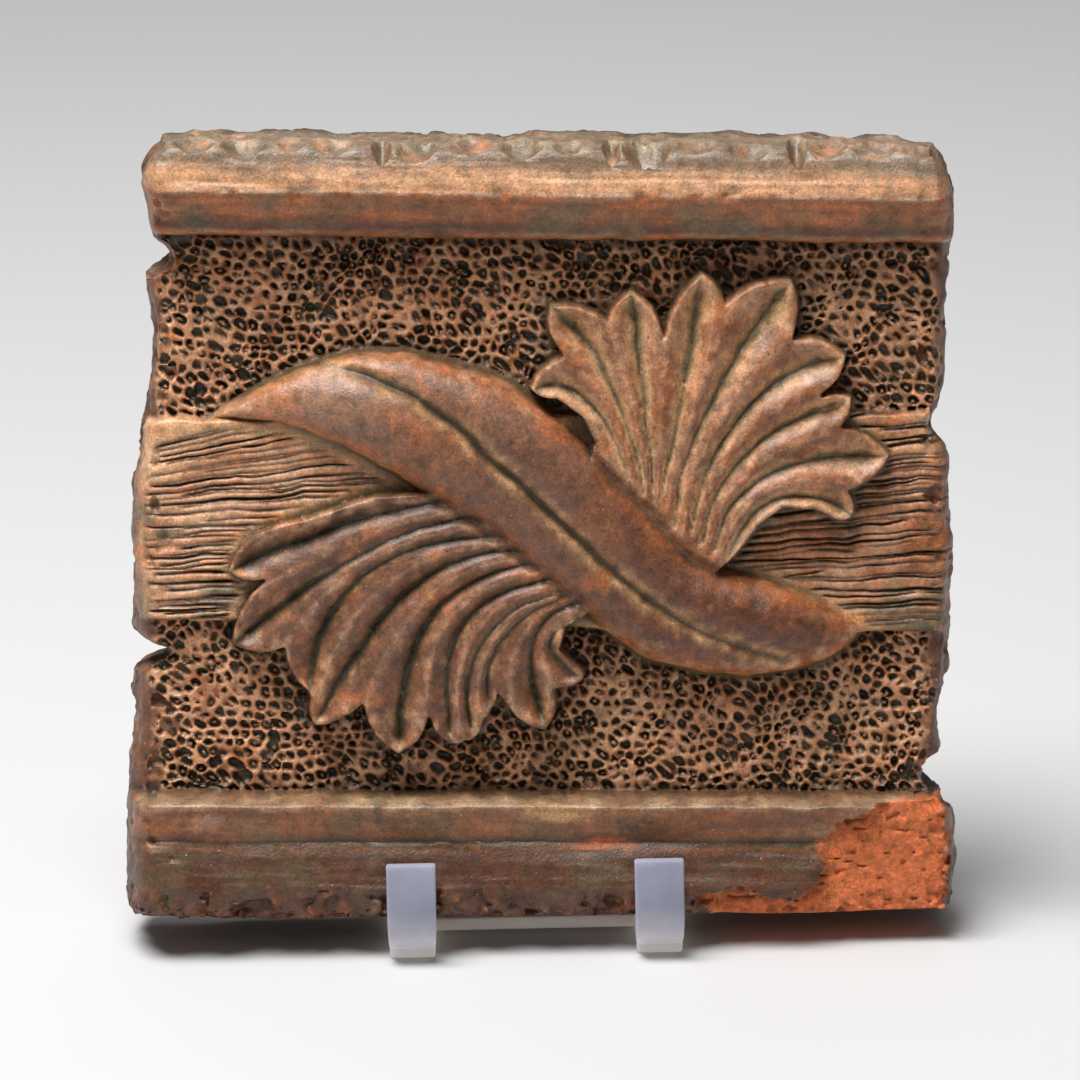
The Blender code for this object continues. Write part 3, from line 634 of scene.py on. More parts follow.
def leaf(a, b, on_comb):
    """Level of the leaf, distance into it (negative outside), and distance from its furrow."""
    upper, lower, midrib = (smooth_curve(line) for line in (LEAF_UPPER, LEAF_LOWER, MIDRIB))
    body = inside(np.vstack([upper, lower[::-1]]), a, b)
    to_upper, to_lower = distance_to(upper, a, b), distance_to(lower, a, b)
    width = to_upper + to_lower + 1e-6
    across = 2 * to_upper / width - 1
    crown = LEAF_CROWN * np.clip(width / 26, 0, 1) ** 0.75
    to_edge = np.minimum(to_upper, to_lower)
    mass = crown * (1 - np.abs(across) ** 2.5) ** 0.62 * ease(-0.3, 1.7, to_edge)
    to_rib = distance_to(midrib, a, b)
    furrow = (FURROW_DEPTH - 0.7 * ease(10, 40, a)) * np.exp(-((to_rib / FURROW_WIDTH) ** 2))
    furrow = furrow + 1.8 * np.exp(-((to_rib / 5.5) ** 2))
    foot = LEAF_BASE - (3.0 - 2.4 * on_comb) * to_edge  # steep beside the pits, drawn out on the bands
    level = np.where(body, LEAF_BASE + mass - furrow * ease(0, 6, to_edge), foot)
    return level, np.where(body, to_edge, -to_edge), to_rib


# Its two fans of acanthus lobes, one on each side of the leaf.
# Each lobe of clay was drawn with a modelling tool from its tip to the root, which leaves sharp ridges
# between hollows. A lobe below is its tip, its furrow's bend and root, and the notch that follows.

RIGHT_FAN = {
    "start": [(10, 13), (12, 21), (9, 27), (3, 31)],
    "lobes": [
        ((-3.2, 33.0), (12.5, 39.5), (21, 11), (4, 41)),
        ((1, 53), (18, 40), (24, 9.5), (14.7, 49.5)),
        ((20, 56.5), (23.2, 33), (26.6, 7.5), (28, 46)),
        ((36.5, 60.7), (34, 35), (27.5, 7), (42.5, 54)),
        ((57.5, 59.5), (29, 19.5), (31.7, 1.8), (58.7, 45.7)),
        ((71, 41.5), (41.5, 36.4), (35, 1.1), (65.4, 32.4)),
        ((72.7, 31.7), (41.3, 23.3), (38, -1.2), (70.5, 25.1)),
        ((82, 18.6), (44.5, 19.6), (40.7, -3.5), (72.5, 10.3)),
        ((73.5, 4.4), (52, 17.5), (44, -6), (69, 3.2)),
    ],
    "end": [(64, 5.8), (57, 6.2), (51.5, 2), (46, -5), (41, -10.5), (33, -13), (16, 2)],
    "hub": (33, 4), "reach": 58, "level": 33.2, "droop": 3.4, "groove": 4.5, "roundness": 1.8,
}
LEFT_FAN = {
    "start": [(-16, 12), (-24, 9.6), (-39, 8.4), (-51, 4.4), (-63, 0.8)],
    "lobes": [
        ((-73, -9.8), (-26, 11), (-14, 6.5), (-64.7, -12.3)),
        ((-71.7, -27.4), (-34, 5.2), (-10.5, 3.5), (-59.6, -28.2)),
        ((-54, -38), (-50.7, 0.7), (-6, -1.2), (-53.6, -39.5)),
        ((-52.4, -46.1), (-30, 1), (-2.5, -5), (-41.2, -40.9)),
        ((-32.6, -52.9), (-33.4, -8.5), (1.8, -7), (-25.5, -44.1)),
        ((-19.8, -50.3), (-28.5, -14), (4.7, -10.6), (-17, -49.6)),
        ((-14.6, -48.8), (-23, -21), (6, -13.6), (-12.6, -44.5)),
        ((-11, -41.8), (-17, -23.6), (7.5, -14), (-9.4, -38.4)),
        ((2, -47), (-8.7, -20), (9.5, -16.4), (4.2, -37.2)),
        ((11, -34.8), (-6.5, -25.3), (12, -18.8), (8.8, -31.5)),
    ],
    "end": [(5.2, -27.5), (6.5, -22.5), (16, -17), (14, -8), (-2, 9)],
    "hub": (0, -8), "reach": 78, "level": 32.4, "droop": 3.6, "groove": 3.4, "roundness": 2.1,
}
LOBE_BULGE = 0.12
FAN_SINK = 1.0  # fall of the fans for each mm that they run in under the leaf
WALL = 0.5  # half the width of the slope at the fans' outlines
FAN_ROOT = GROUND - 4  # the fans' walls run down below the deepest pits


def lobe_side(start, end, bulge):
    """Outline from a notch to a tip or back, bowed out to the left of its direction."""
    start, end = np.array(start, float), np.array(end, float)
    run = end - start
    bend = (start + end) / 2 + bulge * 2 * np.array([-run[1], run[0]])
    return bent_line(start, bend, end, 5)[1:]


def fan(shape, a, b, turn):
    """Level of a fan, distance into it (negative outside), and how far from groove to ridge, 0 to 1."""
    outline = [np.array(shape["start"], float)]
    last = shape["start"][-1]
    for tip, bend, root, notch in shape["lobes"]:
        outline.append(lobe_side(last, tip, turn * LOBE_BULGE))
        outline.append(lobe_side(tip, notch, turn * LOBE_BULGE))
        last = notch
    outline = np.vstack(outline + [np.array(shape["end"], float)])
    body = inside(outline, a, b)
    to_edge = distance_to(np.vstack([outline, outline[:1]]), a, b)
    grooves = [distance_to(bent_line(tip, bend, root), a, b) for tip, bend, root, notch in shape["lobes"]]
    nearest, second = np.sort(np.array(grooves), axis=0)[:2]
    to_ridge = np.minimum((second - nearest) / 2, to_edge + 0.8)
    part = nearest / (nearest + to_ridge + 1e-6)
    rise = 1 - (1 - part) ** shape["roundness"]
    out = np.hypot(a - shape["hub"][0], b - shape["hub"][1]) / shape["reach"]
    depth = np.minimum(shape["groove"], 0.75 * (nearest + to_ridge)) * ease(0, 4, to_edge + 0.6)
    top = shape["level"] - shape["droop"] * out**2
    rounding = 1.4 * (1 - np.sqrt(1 - (1 - np.clip(to_edge / 1.4, 0, 1)) ** 2))
    carved = top - depth * (1 - rise) - rounding * body
    into = np.where(body, to_edge, -to_edge)
    return FAN_ROOT + (carved - FAN_ROOT) * ease(-WALL, WALL, into), into, part


# Its fresh break.
# A piece of the lower right corner was knocked off later. The break is a rough, nearly flat surface
# of bare orange clay, with small voids where grit fell out.

BREAK = [(80.5, -63.8), (71, -68.3), (65.5, -72.8), (69.4, -78), (61, -86.7), (50, -84), (37, -85),
         (40, -88.5), (50, -96), (106, -96), (106, -62)]
BREAK_CORNERS = 9  # of its outline that lie on the face
BREAK_LEVEL, BREAK_FALL = 30.7, 0.04


def face_level(u, v):
    """Height of the carved face above the flat back, and the masks that the glaze is painted by."""
    spots = np.stack([u, v], axis=-1)
    u = u + 0.32 * grain(spots, 6, 2, 41)
    v = v + 0.26 * grain(spots, 6, 2, 42)
    a, b = to_carving_axes(u, v)
    here = np.stack([a, b], axis=-1)
    bands = combed_bands(a, b)
    on_comb = ease(0.5, 2.5, bands - GROUND)
    ground = np.maximum(mouldings(b), bands)
    leaf_level, leaf_in, to_rib = leaf(a, b, on_comb)
    right_level, right_in, right_part = fan(RIGHT_FAN, a, b, 1)
    left_level, left_in, left_part = fan(LEFT_FAN, a, b, -1)
    clear = -np.maximum(np.maximum(leaf_in, right_in), left_in)

    between = ease(SOFFIT_B + 0.2, SOFFIT_B - 1.4, b) * ease(LIP_TOP_B + 0.3, LIP_TOP_B + 1.6, b)
    pits, deep, stud = stipple(a, b)
    plain_left = ease(-92.5, -89.0, a + 1.8 * grain(here, 5, 2, 33))
    plain_right = ease(94.5, 91.5, a + 1.8 * grain(here, 5, 2, 39))
    stippled = between * (1 - on_comb) * (plain_left * plain_right)
    field = stippled * ease(-0.1, 0.6, clear)
    left_lines = combed_lines(a, b, *COMB_LEFT, **LEFT_COMBING)
    right_lines = combed_lines(a, b, *COMB_RIGHT, **RIGHT_COMBING)
    smooth_rim = ease(-92.5, -90.0, a + 1.6 * grain(here, 7, 2, 34))
    smooth_rim = smooth_rim * ease(0.8, 3.0, clear + 1.0 * grain(here, 9, 1, 35))
    lines = on_comb * np.where(a < 10, left_lines * smooth_rim, right_lines * ease(0.2, 1.2, clear))
    ground = ground + field * pits - lines + on_comb * 0.22 * grain(here, 5, 3, 36)
    ground = ground + tool_marks(a, b) - arris_nicks(a, b)

    level = soft_max(leaf_level, ground, LEAF_FILLETS[0] + LEAF_FILLETS[1] * on_comb)
    sink = FAN_SINK * np.maximum(leaf_in, 0)
    right_level, left_level = right_level - sink, left_level - sink
    merge = 0.1 + 2.6 * ease(-5, 0.5, leaf_in)
    level = soft_max(level, right_level, merge)
    level = soft_max(level, left_level, merge)
    carving = ease(-0.2, 0.8, -clear)
    level = level + carving * (0.26 * grain(here, 7, 2, 43) + 0.1 * grain(here, 1.6, 2, 44))

    outline = np.array(BREAK, float)
    to_outline = distance_to(outline[:BREAK_CORNERS], a, b)
    into = np.where(inside(outline, a, b), to_outline, -to_outline)
    into = into + 1.0 * grain(here, 4, 3, 45)
    fresh = ease(0, 0.7, into) * ease(98.0, 96.4, a + 1.6 * grain(here, 3, 3, 49))
    rough = 0.25 * grain(here, 8, 2, 46) + 0.2 * grain(here, 1.1, 2, 48)
    rough = rough - 0.7 * ease(0.6, 0.9, grain(np.stack([a, 2 * b], axis=-1), 2.0, 1, 47))
    plane = BREAK_LEVEL - BREAK_FALL * (a - 66) + rough - 0.2
    level = level + (np.minimum(plane, level) - level) * fresh

    masks = {
        "a": a, "b": b, "clear": clear,
        "on_comb": on_comb * between, "lines": lines,
        "field": stippled, "deep": deep * field, "stud": stud,
        "leaf": ease(0, 0.7, leaf_in), "leaf_in": leaf_in, "to_rib": to_rib,
        "right": ease(-0.2, 0.5, right_in) * ease(-1.5, 0.8, right_level - leaf_level),
        "right_part": right_part,
        "left": ease(-0.2, 0.5, left_in) * ease(-1.5, 0.8, left_level - leaf_level),
        "left_part": left_part,
        "fresh": fresh, "break_in": into,
    }
    return level, masks


# Its edges.
# The slab was broken out of a longer course. Its front edges are rolled over by wear, its sides are
# rough clay down to the back, and its top was trimmed by striking off one flake beside another.

SHEET_STEP, FINE_STEP = 0.4, 0.32  # of the mesh over the face, and over its combed bands
ROLL_STEPS = 34  # of the mesh round each rolled edge
# Flakes struck off the top edge: place, half width, depth. The ones at the corners go right back.
SCARS = [(-90, 9, 4.25), (-78, 8, 4.5), (-67, 8, 5.5), (-56, 7, 3.5), (-46, 8, 4.5), (-35, 3.5, 7.5),
         (-27, 9, 5.25), (-14, 8, 3.75), (-3, 8, 5.25), (8, 7, 4.0), (18, 3.2, 7.0), (26, 8, 8.5),
         (38, 9, 3.75), (50, 8, 4.75), (61, 3.4, 8.25), (68, 8, 4.5), (79, 9, 4.0), (90, 8, 3.75)]
CORNER_SCARS = [(-101, 13, 6.0), (-92, 9, 2.2), (-84, 6, 0.9), (102, 11, 5.0), (93, 9, 1.6)]


def rolled(distance, radius):
    """1 well inside an edge and 0 on it, along a quarter round."""
    x = 1 - np.clip(distance / radius, 0, 1)
    return np.sqrt(np.maximum(1 - x * x, 0))


def stations(length, near_round, far_round, fine=(0, 0)):
    """Places along a side of the sheet, from 0 to 1, closer in a fine part and round the edges."""
    turn = np.linspace(0, math.pi / 2, ROLL_STEPS)
    near = near_round * (1 - np.cos(turn))
    far = length - far_round * (1 - np.cos(turn[::-1]))
    flat = [near_round]
    while flat[-1] < length - far_round - SHEET_STEP:
        flat.append(flat[-1] + (FINE_STEP if fine[0] < flat[-1] < fine[1] else SHEET_STEP))
    return np.concatenate([near, flat[1:], far]) / length


def face_points(across, up):
    """Points (u, v, w) of the face for shares of its width and height from 0 to 1, and its masks."""
    v = -HALF_HEIGHT + up * (HALF_HEIGHT + TOP_EDGE)
    width, height = RIGHT_EDGE - LEFT_EDGE, HALF_HEIGHT + TOP_EDGE
    u = LEFT_EDGE + across * width
    near_left, near_right = (np.clip(1 - t * width / EDGE_ZONE, 0, 1) ** 2 for t in (across, 1 - across))
    near_bottom, near_top = (np.clip(1 - t * height / EDGE_ZONE, 0, 1) for t in (up, 1 - up))
    v = v + TOP_SLOPE * u * (1 - near_bottom)
    u = u + near_left * (left_edge(v) - LEFT_EDGE) + near_right * (right_edge(v) - RIGHT_EDGE)
    v = v + near_top * bumps(u, TOP_SPOTS) + near_bottom * (bottom_edge(u) + HALF_HEIGHT)
    side_round = SIDE_ROUND[0] + (SIDE_ROUND[1] - SIDE_ROUND[0]) * across
    bottom_round = BOTTOM_ROUND[0] + (BOTTOM_ROUND[1] - BOTTOM_ROUND[0]) * across
    kept = rolled(across * width, side_round) * rolled((1 - across) * width, side_round)
    kept = kept * rolled(up * height, bottom_round) * rolled((1 - up) * height, TOP_ROUND)
    level, masks = face_level(u, v)
    return np.stack([u, v, RIM + (level - RIM) * kept], axis=-1), kept, masks


def blurred(field, steps):
    """A field of the sheet smoothed over a number of its steps on either side."""
    for axis in (0, 1, 0, 1):
        room = [(0, 0), (0, 0)]
        room[axis] = (steps + 1, steps)
        total = np.cumsum(np.pad(field, room, mode="edge"), axis=axis)
        size, span = field.shape[axis], 2 * steps + 1
        high = np.take(total, range(span, size + span), axis)
        field = (high - np.take(total, range(size), axis)) / span
    return field


def flake(points, axis, side, centre, radii, ragged):
    """Cuts one shallow hollow: points beyond its surface along an axis are set back on to it."""
    room = 1 + ragged
    for other in {0, 1, 2} - {axis}:
        room = room - ((points[..., other] - centre[other]) / radii[other]) ** 2
    surface = centre[axis] - side * radii[axis] * np.sqrt(np.maximum(room, 0))
    beyond = (room > 0) & (side * (points[..., axis] - surface) > 0)
    points[..., axis] = np.where(beyond, surface, points[..., axis])


# Larger pieces broken out of the foot's front edge: place, half width, depth
FOOT_SCARS = [(-84, 4.5, 1.6), (-68, 6.5, 3.6), (-60, 4, 1.8), (-50, 5, 1.8), (-19, 5, 1.4), (-8, 7, 2.0),
              (5, 5, 1.6), (14, 4, 1.8)]
TOP_CHIPS, SIDE_CHIPS, FRONT_CHIPS, FOOT_CHIPS = 46, 70, 160, 90
CORNER_STEPS = 60  # of the sheet that the front chips keep clear of its corners


def top_flakes(points, rng, ragged):
    """The flakes struck off the top, the ones at its corners, and small chips between them."""
    flakes = [(u, half, deep, rng.uniform(30, 33), rng.uniform(8, 12)) for u, half, deep in SCARS]
    flakes += [(u, half, deep, 12, 60) for u, half, deep in CORNER_SCARS]
    for i in range(TOP_CHIPS):
        u, half, deep = rng.uniform(-92, 94), rng.uniform(1.6, 5), rng.uniform(0.5, 2.2)
        flakes.append((u, half, deep, rng.uniform(12, 33), rng.uniform(2, 6)))
    for u, half, deep, w, length in flakes:
        top = TOP_EDGE + TOP_SLOPE * u + bumps(u, TOP_SPOTS)
        flake(points, 1, 1, (u, top + 1.6 * deep, w), (half, 2.6 * deep, length), ragged)


def side_chips(points, rng, ragged):
    for edge, side in ((left_edge, -1), (right_edge, 1)):
        for i in range(SIDE_CHIPS):
            v, deep = rng.uniform(-92, 90), 0.3 + 2.1 * rng.random() ** 2
            centre = (edge(v) + side * 1.6 * deep, v, rng.uniform(5, 33))
            radii = (2.6 * deep, rng.uniform(1.6, 6), rng.uniform(2.5, 8))
            flake(points, 0, side, centre, radii, 2 * ragged)


def front_chips(points, rng, ragged):
    """Pieces out of the foot's front edge, and small chips along the front edges of foot and sides."""
    for u, half, deep in FOOT_SCARS:
        centre = (u, bottom_edge(u) + 2, LOWER_BAND + 0.8 * deep)
        flake(points, 2, 1, centre, (half, 5.5, 2.2 * deep), 4 * ragged)
    rows, columns = points.shape[:2]
    for i in range(FRONT_CHIPS):
        near = rng.integers(26, ROLL_STEPS + 8)
        row, column = (rng.integers(CORNER_STEPS, count - CORNER_STEPS) for count in (rows, columns))
        row, column = [(near, column), (row, near), (row, columns - 1 - near)][i % 3]
        deep = 0.2 + 0.7 * rng.random() ** 2
        centre = points[row, column] + (0, 0, 1.4 * deep)
        flake(points, 2, 1, centre, (rng.uniform(1, 2.6), rng.uniform(0.8, 2.2), 2.4 * deep), 2.5 * ragged)


def foot_chips(points, rng, ragged):
    """Chips out of the foot's underside, away from the easel's arms and the fresh break."""
    for i in range(FOOT_CHIPS):
        u, deep = rng.uniform(-96, 98), 0.4 + 2.4 * rng.random() ** 2
        if min(abs(u - ARM_U[0]), abs(u - ARM_U[1])) > 10 and u < 42:
            centre = (u, bottom_edge(u) - 1.4 * deep, rng.uniform(26, 34))
            flake(points, 1, -1, centre, (rng.uniform(1.5, 7), 2.4 * deep, rng.uniform(2, 6)), 3 * ragged)


def chipped(points):
    points, rng = points.copy(), np.random.default_rng(65)
    ragged = 0.12 * grain(points, 3, 2, 66)
    for struck in (top_flakes, side_chips, front_chips, foot_chips):
        struck(points, rng, ragged)
    return points


def weathered(points, kept, masks):
    """Roughness and crumbling along the edges, pushed in along the surface's own normal, then chips."""
    slope_up, slope_across = np.gradient(points, axis=0), np.gradient(points, axis=1)
    normal = np.cross(slope_across, slope_up)
    area = np.linalg.norm(normal, axis=-1, keepdims=True)
    normal /= area + 1e-9
    u, v = points[..., 0], points[..., 1]
    border = 1 - np.minimum(kept, 1) ** 2
    side = ease(0.25, 0.95, border)
    rough = 0.75 * grain(points, 6, 4, 61) + 0.5 * ease(0.1, 0.6, grain(points, 3.2, 2, 62))
    near_edge = ease(9, 0, np.minimum(u - left_edge(v), right_edge(v) - u))
    rough = rough * np.clip(side + 0.6 * near_edge, 0, 1)
    crumbs = ease(-82, -89, masks["b"] + 2.5 * grain(points, 9, 2, 67))
    crumbs = crumbs * (0.6 * grain(points, 3.0, 3, 63) + 1.3 * ease(0.3, 0.65, grain(points, 2.0, 2, 64)))
    held = ease(-HALF_HEIGHT, -HALF_HEIGHT + 2.5, v) * np.ones_like(v)
    moved = (rough * held + crumbs * held) * (1 - 0.7 * masks["fresh"])
    masks["side"] = side
    crest_wear_and_highlight = points - normal * moved[..., None] * np.clip(area / 0.02, 0, 1)
    broken = chipped(crest_wear_and_highlight)
    masks["chip"] = ease(0.05, 0.5, np.linalg.norm(broken - crest_wear_and_highlight, axis=-1))
    round_about = np.stack([blurred(broken[..., i], 2) for i in range(3)], axis=-1)
    facing = np.cross(np.gradient(round_about, axis=1), np.gradient(round_about, axis=0))
    facing /= np.linalg.norm(facing, axis=-1, keepdims=True) + 1e-9
    masks["sharp"] = np.sum((broken - round_about) * facing, axis=-1)
    return broken


# Its glaze.
# A thin brown and green glaze, brushed over the carving and fired. It is dark in every pit and groove,
# worn through to tan and rose on the crests, and weathered to rust and grey. It lies in coats. Some
# dark in the hollows is painted shade, and some pale on the arris and on ridges is painted highlight.

TAN, SAND, FLESH = paint(196, 142, 106), paint(220, 176, 140), paint(206, 160, 126)
ROSE, OCHRE, ORANGE = paint(196, 156, 132), paint(198, 158, 112), paint(206, 122, 68)
RUST, CLAY, DARK_RED = paint(152, 92, 54), paint(204, 112, 68), paint(98, 54, 34)
UMBER, MAUVE, SOOT = paint(108, 70, 52), paint(112, 78, 62), paint(24, 22, 15)
MOSS, OLIVE, LICHEN = paint(56, 58, 36), paint(108, 98, 74), paint(122, 104, 86)
STONE, SLATE, SIDE_BROWN = paint(186, 168, 148), paint(112, 98, 84), paint(92, 64, 50)
BACK_CLAY = paint(150, 98, 74)
# Small worn or stained places: middle, half sizes, colour, strength
WORN_SPOTS = [(17.6, -73.3, 5.4, 1.5, CLAY, 1.0), (-86.6, 43.9, 1.6, 1.0, CLAY, 0.8),
              (5, -66, 9, 2.0, OCHRE, 0.6), (-77, -68, 5, 2, STONE, 0.35),
              (-11, 0.5, 1.2, 2.2, DARK_RED, 0.6), (13, -11, 3.4, 2.6, RUST, 0.8),
              (62, 79.4, 1.1, 0.6, STONE, 1.0), (22, -80, 0.8, 0.5, STONE, 0.9)]


def coats(under, *layers):
    """A colour with coats laid over it one after another, each a colour and its mask."""
    for colour, mask in layers:
        under = under + (np.array(colour[:3]) - under) * np.clip(mask, 0, 1)[..., None]
    return under


def field_glaze(plain, masks, here, fine, coarse):
    """The stippled ground: tan and flesh on its net of ridges, moss and soot in its pits."""
    deep, crest_wear_and_highlight = masks["deep"], ease(0.02, 0.16, masks["sharp"])
    return coats(
        plain * TAN[:3],
        (RUST, ease(-0.4, 0.5, coarse + 0.4 * fine) * 0.8),
        (OLIVE, ease(0.1, 0.9, grain(here, 14, 2, 79)) * 0.5),
        # Flesh on the net's sharp crests is worn glaze and partly a painted highlight.
        (FLESH, crest_wear_and_highlight * ease(-0.4, 0.4, fine) * 0.85),
        (UMBER, ease(0.15, 0.5, deep) * 0.75),
        (MOSS, ease(0.3, 0.7, deep) * 0.8),
        (SOOT, ease(0.55, 0.9, deep) * ease(0.7, 0.0, grain(here, 6, 2, 84)) * 0.85),
        (ROSE, 0.6 * masks["stud"]),
        (OLIVE, ease(1.8, 0.2, masks["clear"] + 0.8 * fine) * 0.6),
        (SIDE_BROWN, ease(-89.5, -92.0, masks["a"] + 1.5 * fine) * 0.85))


def comb_glaze(plain, masks, here, fine, coarse):
    """The combed bands: sand to rust, with umber and moss in the scratches."""
    a, b, lines = masks["a"], masks["b"], masks["lines"]
    streaks = grain(np.stack([a / 9, b / 1.6], axis=-1), 1, 3, 89)
    return coats(
        plain * SAND[:3],
        (RUST, 0.22 + 0.4 * coarse + 0.45 * ease(-10, 50, a)),
        (OLIVE, ease(0.3, 0.9, grain(here, 12, 2, 73) + 0.5 * ease(-8, -20, b))),
        (OCHRE, ease(4.5, 1.0, masks["clear"] + 1.5 * fine) * 0.8),
        (ORANGE, ease(0.1, 0.7, streaks) * 0.45),
        (UMBER, 0.7 * ease(0.06, 0.3, lines)),
        (MOSS, 0.85 * ease(0.35, 0.8, lines)))


def moulding_glaze(colour, masks, points, fine, coarse):
    """The mouldings: flesh above the arris and rust below it, then brown and olive down to the foot."""
    a, b = masks["a"], masks["b"]
    above = ease(SOFFIT_B - 1, SOFFIT_B + 0.5, b)
    below = ease(LIP_TOP_B + 1.6, LIP_TOP_B + 0.6, b)
    under_arris = above * ease(ARRIS_B, ARRIS_B - 2, b)
    lip_top, foot = ease(LIP_B - 0.3, LIP_B + 0.2, b) * below, ease(-74, -76, b)
    streak = grain(np.stack([a / 30, b / 1.1], axis=-1), 1, 3, 74)
    return coats(
        colour,
        (RUST, above),
        (ORANGE, above * ease(0.0, 0.7, streak) * 0.5),
        (DARK_RED, above * ease(73.5, 71, b) * ease(69.2, 70.2, b) * 0.9),
        (OLIVE, under_arris * ease(-0.3, 0.9, coarse + 0.4 * fine) * 0.75),
        (MOSS, under_arris * ease(0.3, 0.8, grain(points, 7, 3, 91)) * 0.6),
        (FLESH, ease(ARRIS_B - 0.2, ARRIS_B + 1.0, b) * (0.85 + 0.15 * streak)),
        (LICHEN, ease(81.5, 86.5, b + 1.8 * coarse + 0.8 * streak) * 0.85),
        (RUST, ease(82, 85, b) * ease(0.1, 0.9, grain(points, 8, 3, 85)) * 0.5),
        (OLIVE, ease(83, 87, b) * ease(-0.3, 0.9, grain(points, 7, 3, 75)) * 0.6),
        # A thin pale line along the arris is a painted highlight.
        (STONE, np.exp(-(((b - ARRIS_B - 0.1) / 0.4) ** 2)) * ease(-0.4, 0.2, fine) * 0.9),
        (RUST, below),
        (OLIVE, below * ease(-0.6, 0.9, coarse + 0.4 * fine) * 0.6),
        (UMBER, below * ease(-0.2, 0.6, streak) * 0.6),
        (LICHEN, lip_top * 0.6),
        (OCHRE, lip_top * ease(0.1, 0.7, fine) * 0.4),
        (MOSS, np.exp(-(((b - CREASE_B + 0.5) / 0.7) ** 2)) * 0.85),
        (UMBER, foot),
        (DARK_RED, foot * ease(-0.7, 0.4, streak) * 0.85),
        (OLIVE, foot * ease(-0.4, 1.0, grain(points, 8, 3, 80) + 0.3 * fine) * 0.5),
        (SOOT, foot * 0.3),
        (RUST, ease(-82, -86, b) * ease(0.1, 0.6, fine) * 0.6)), above + below


def leaf_glaze(plain, masks, here, fine, coarse):
    """The leaf: mauve, rose to the left and dark red to the right, ochre along its edge and furrow."""
    a, into, to_rib = masks["a"], masks["leaf_in"], masks["to_rib"]
    beside_rib = np.exp(-(((to_rib - 1.4) / 1.2) ** 2))
    return coats(
        plain * MAUVE[:3],
        (ROSE, ease(-20, -70, a) * 0.6 + 0.15 * coarse),
        (DARK_RED, ease(-10, 30, a) * 0.7 + 0.2 * coarse),
        (SOOT, ease(5, 30, a) * 0.1),
        (RUST, ease(0.0, 0.9, grain(here, 12, 3, 81)) * 0.5),
        (ORANGE, ease(6, 0.5, into + 3 * fine) * 0.4),
        (ORANGE, ease(0.45, 0.8, grain(here, 1.6, 2, 86)) * ease(-0.4, 0.4, coarse) * 0.3),
        (OCHRE, ease(1.4, 0.3, into + 0.8 * fine) * 0.6),
        (OCHRE, beside_rib * (0.4 + 0.5 * fine)),
        (MOSS, np.exp(-((to_rib / 0.55) ** 2)) * (0.7 - 0.3 * ease(10, 40, a))))


def right_fan_glaze(plain, masks, here, fine, coarse):
    """The right fan: rust and rose on its ridges, sand, ochre and moss down into its furrows."""
    part = masks["right_part"]
    return coats(
        plain * RUST[:3],
        (ROSE, 0.12 + 0.35 * coarse),
        (UMBER, ease(-0.6, 0.6, grain(here, 4, 3, 87)) * 0.7),
        (SAND, ease(0.62, 0.3, part + 0.25 * fine) * 0.6),
        (OCHRE, ease(0.5, 0.2, part + 0.2 * fine) * 0.5),
        (OLIVE, ease(0.24, 0.08, part + 0.1 * fine) * 0.85),
        (MOSS, ease(0.1, 0.02, part) * ease(-0.4, 0.3, coarse) * 0.7),
        # A thin pale line along each ridge is a painted highlight.
        (FLESH, ease(0.86, 0.98, part) * ease(-0.5, 0.4, fine) * 0.4))


def left_fan_glaze(plain, masks, here, fine, coarse):
    """The left fan, which lies in the leaf's shade: mauve and umber, with moss in its furrows."""
    b, part = masks["b"], masks["left_part"]
    return coats(
        plain * MAUVE[:3],
        (RUST, 0.3 + 0.4 * coarse),
        (UMBER, ease(-20, 5, b) * 0.6),
        (SOOT, 0.12 + 0.14 * ease(-15, 5, b)),
        (UMBER, ease(-0.2, 0.7, grain(here, 4, 3, 88)) * 0.6),
        (ORANGE, ease(0.3, 0.9, grain(here, 5, 3, 82)) * 0.35),
        (OCHRE, np.exp(-(((part - 0.3) / 0.1) ** 2)) * ease(0, 0.7, fine) * 0.5),
        (MOSS, ease(0.26, 0.06, part) * 0.92),
        # A thin rose line along each ridge is a painted highlight.
        (ROSE, ease(0.86, 0.98, part) * 0.45))


def edge_glaze(colour, masks, points, fine, coarse, mouldings_at):
    """The worn edges and the flakes: brown sides, grey-green scars with tan patches and pale rims."""
    b, side, chip = masks["b"], masks["side"], masks["chip"]
    flaked = chip * ease(80, 86, b)
    edges = np.maximum(flaked, 0.5 * np.maximum(side, mouldings_at) * ease(-80, -76, b))
    rims = edges * (1 - masks["field"]) * ease(0.07, 0.2, masks["sharp"]) * ease(-0.3, 0.4, fine)
    return coats(
        colour,
        (SIDE_BROWN, side * ease(91, 86, b)),
        (ORANGE, side * ease(0.35, 0.8, grain(points, 5, 3, 76)) * 0.6),
        (SLATE, np.maximum(flaked * 0.85, ease(84, 89, b + coarse) * 0.6)),
        (OLIVE, flaked * ease(-0.4, 0.6, grain(points, 9, 3, 92)) * 0.45),
        (TAN, flaked * ease(0.1, 0.8, grain(points, 5, 3, 90)) * 0.5),
        (UMBER, chip * ease(-78, -84, b) * 0.6),
        (RUST, chip * ease(0.2, 0.7, grain(points, 4, 3, 83)) * 0.5),
        (STONE, rims * 0.6))


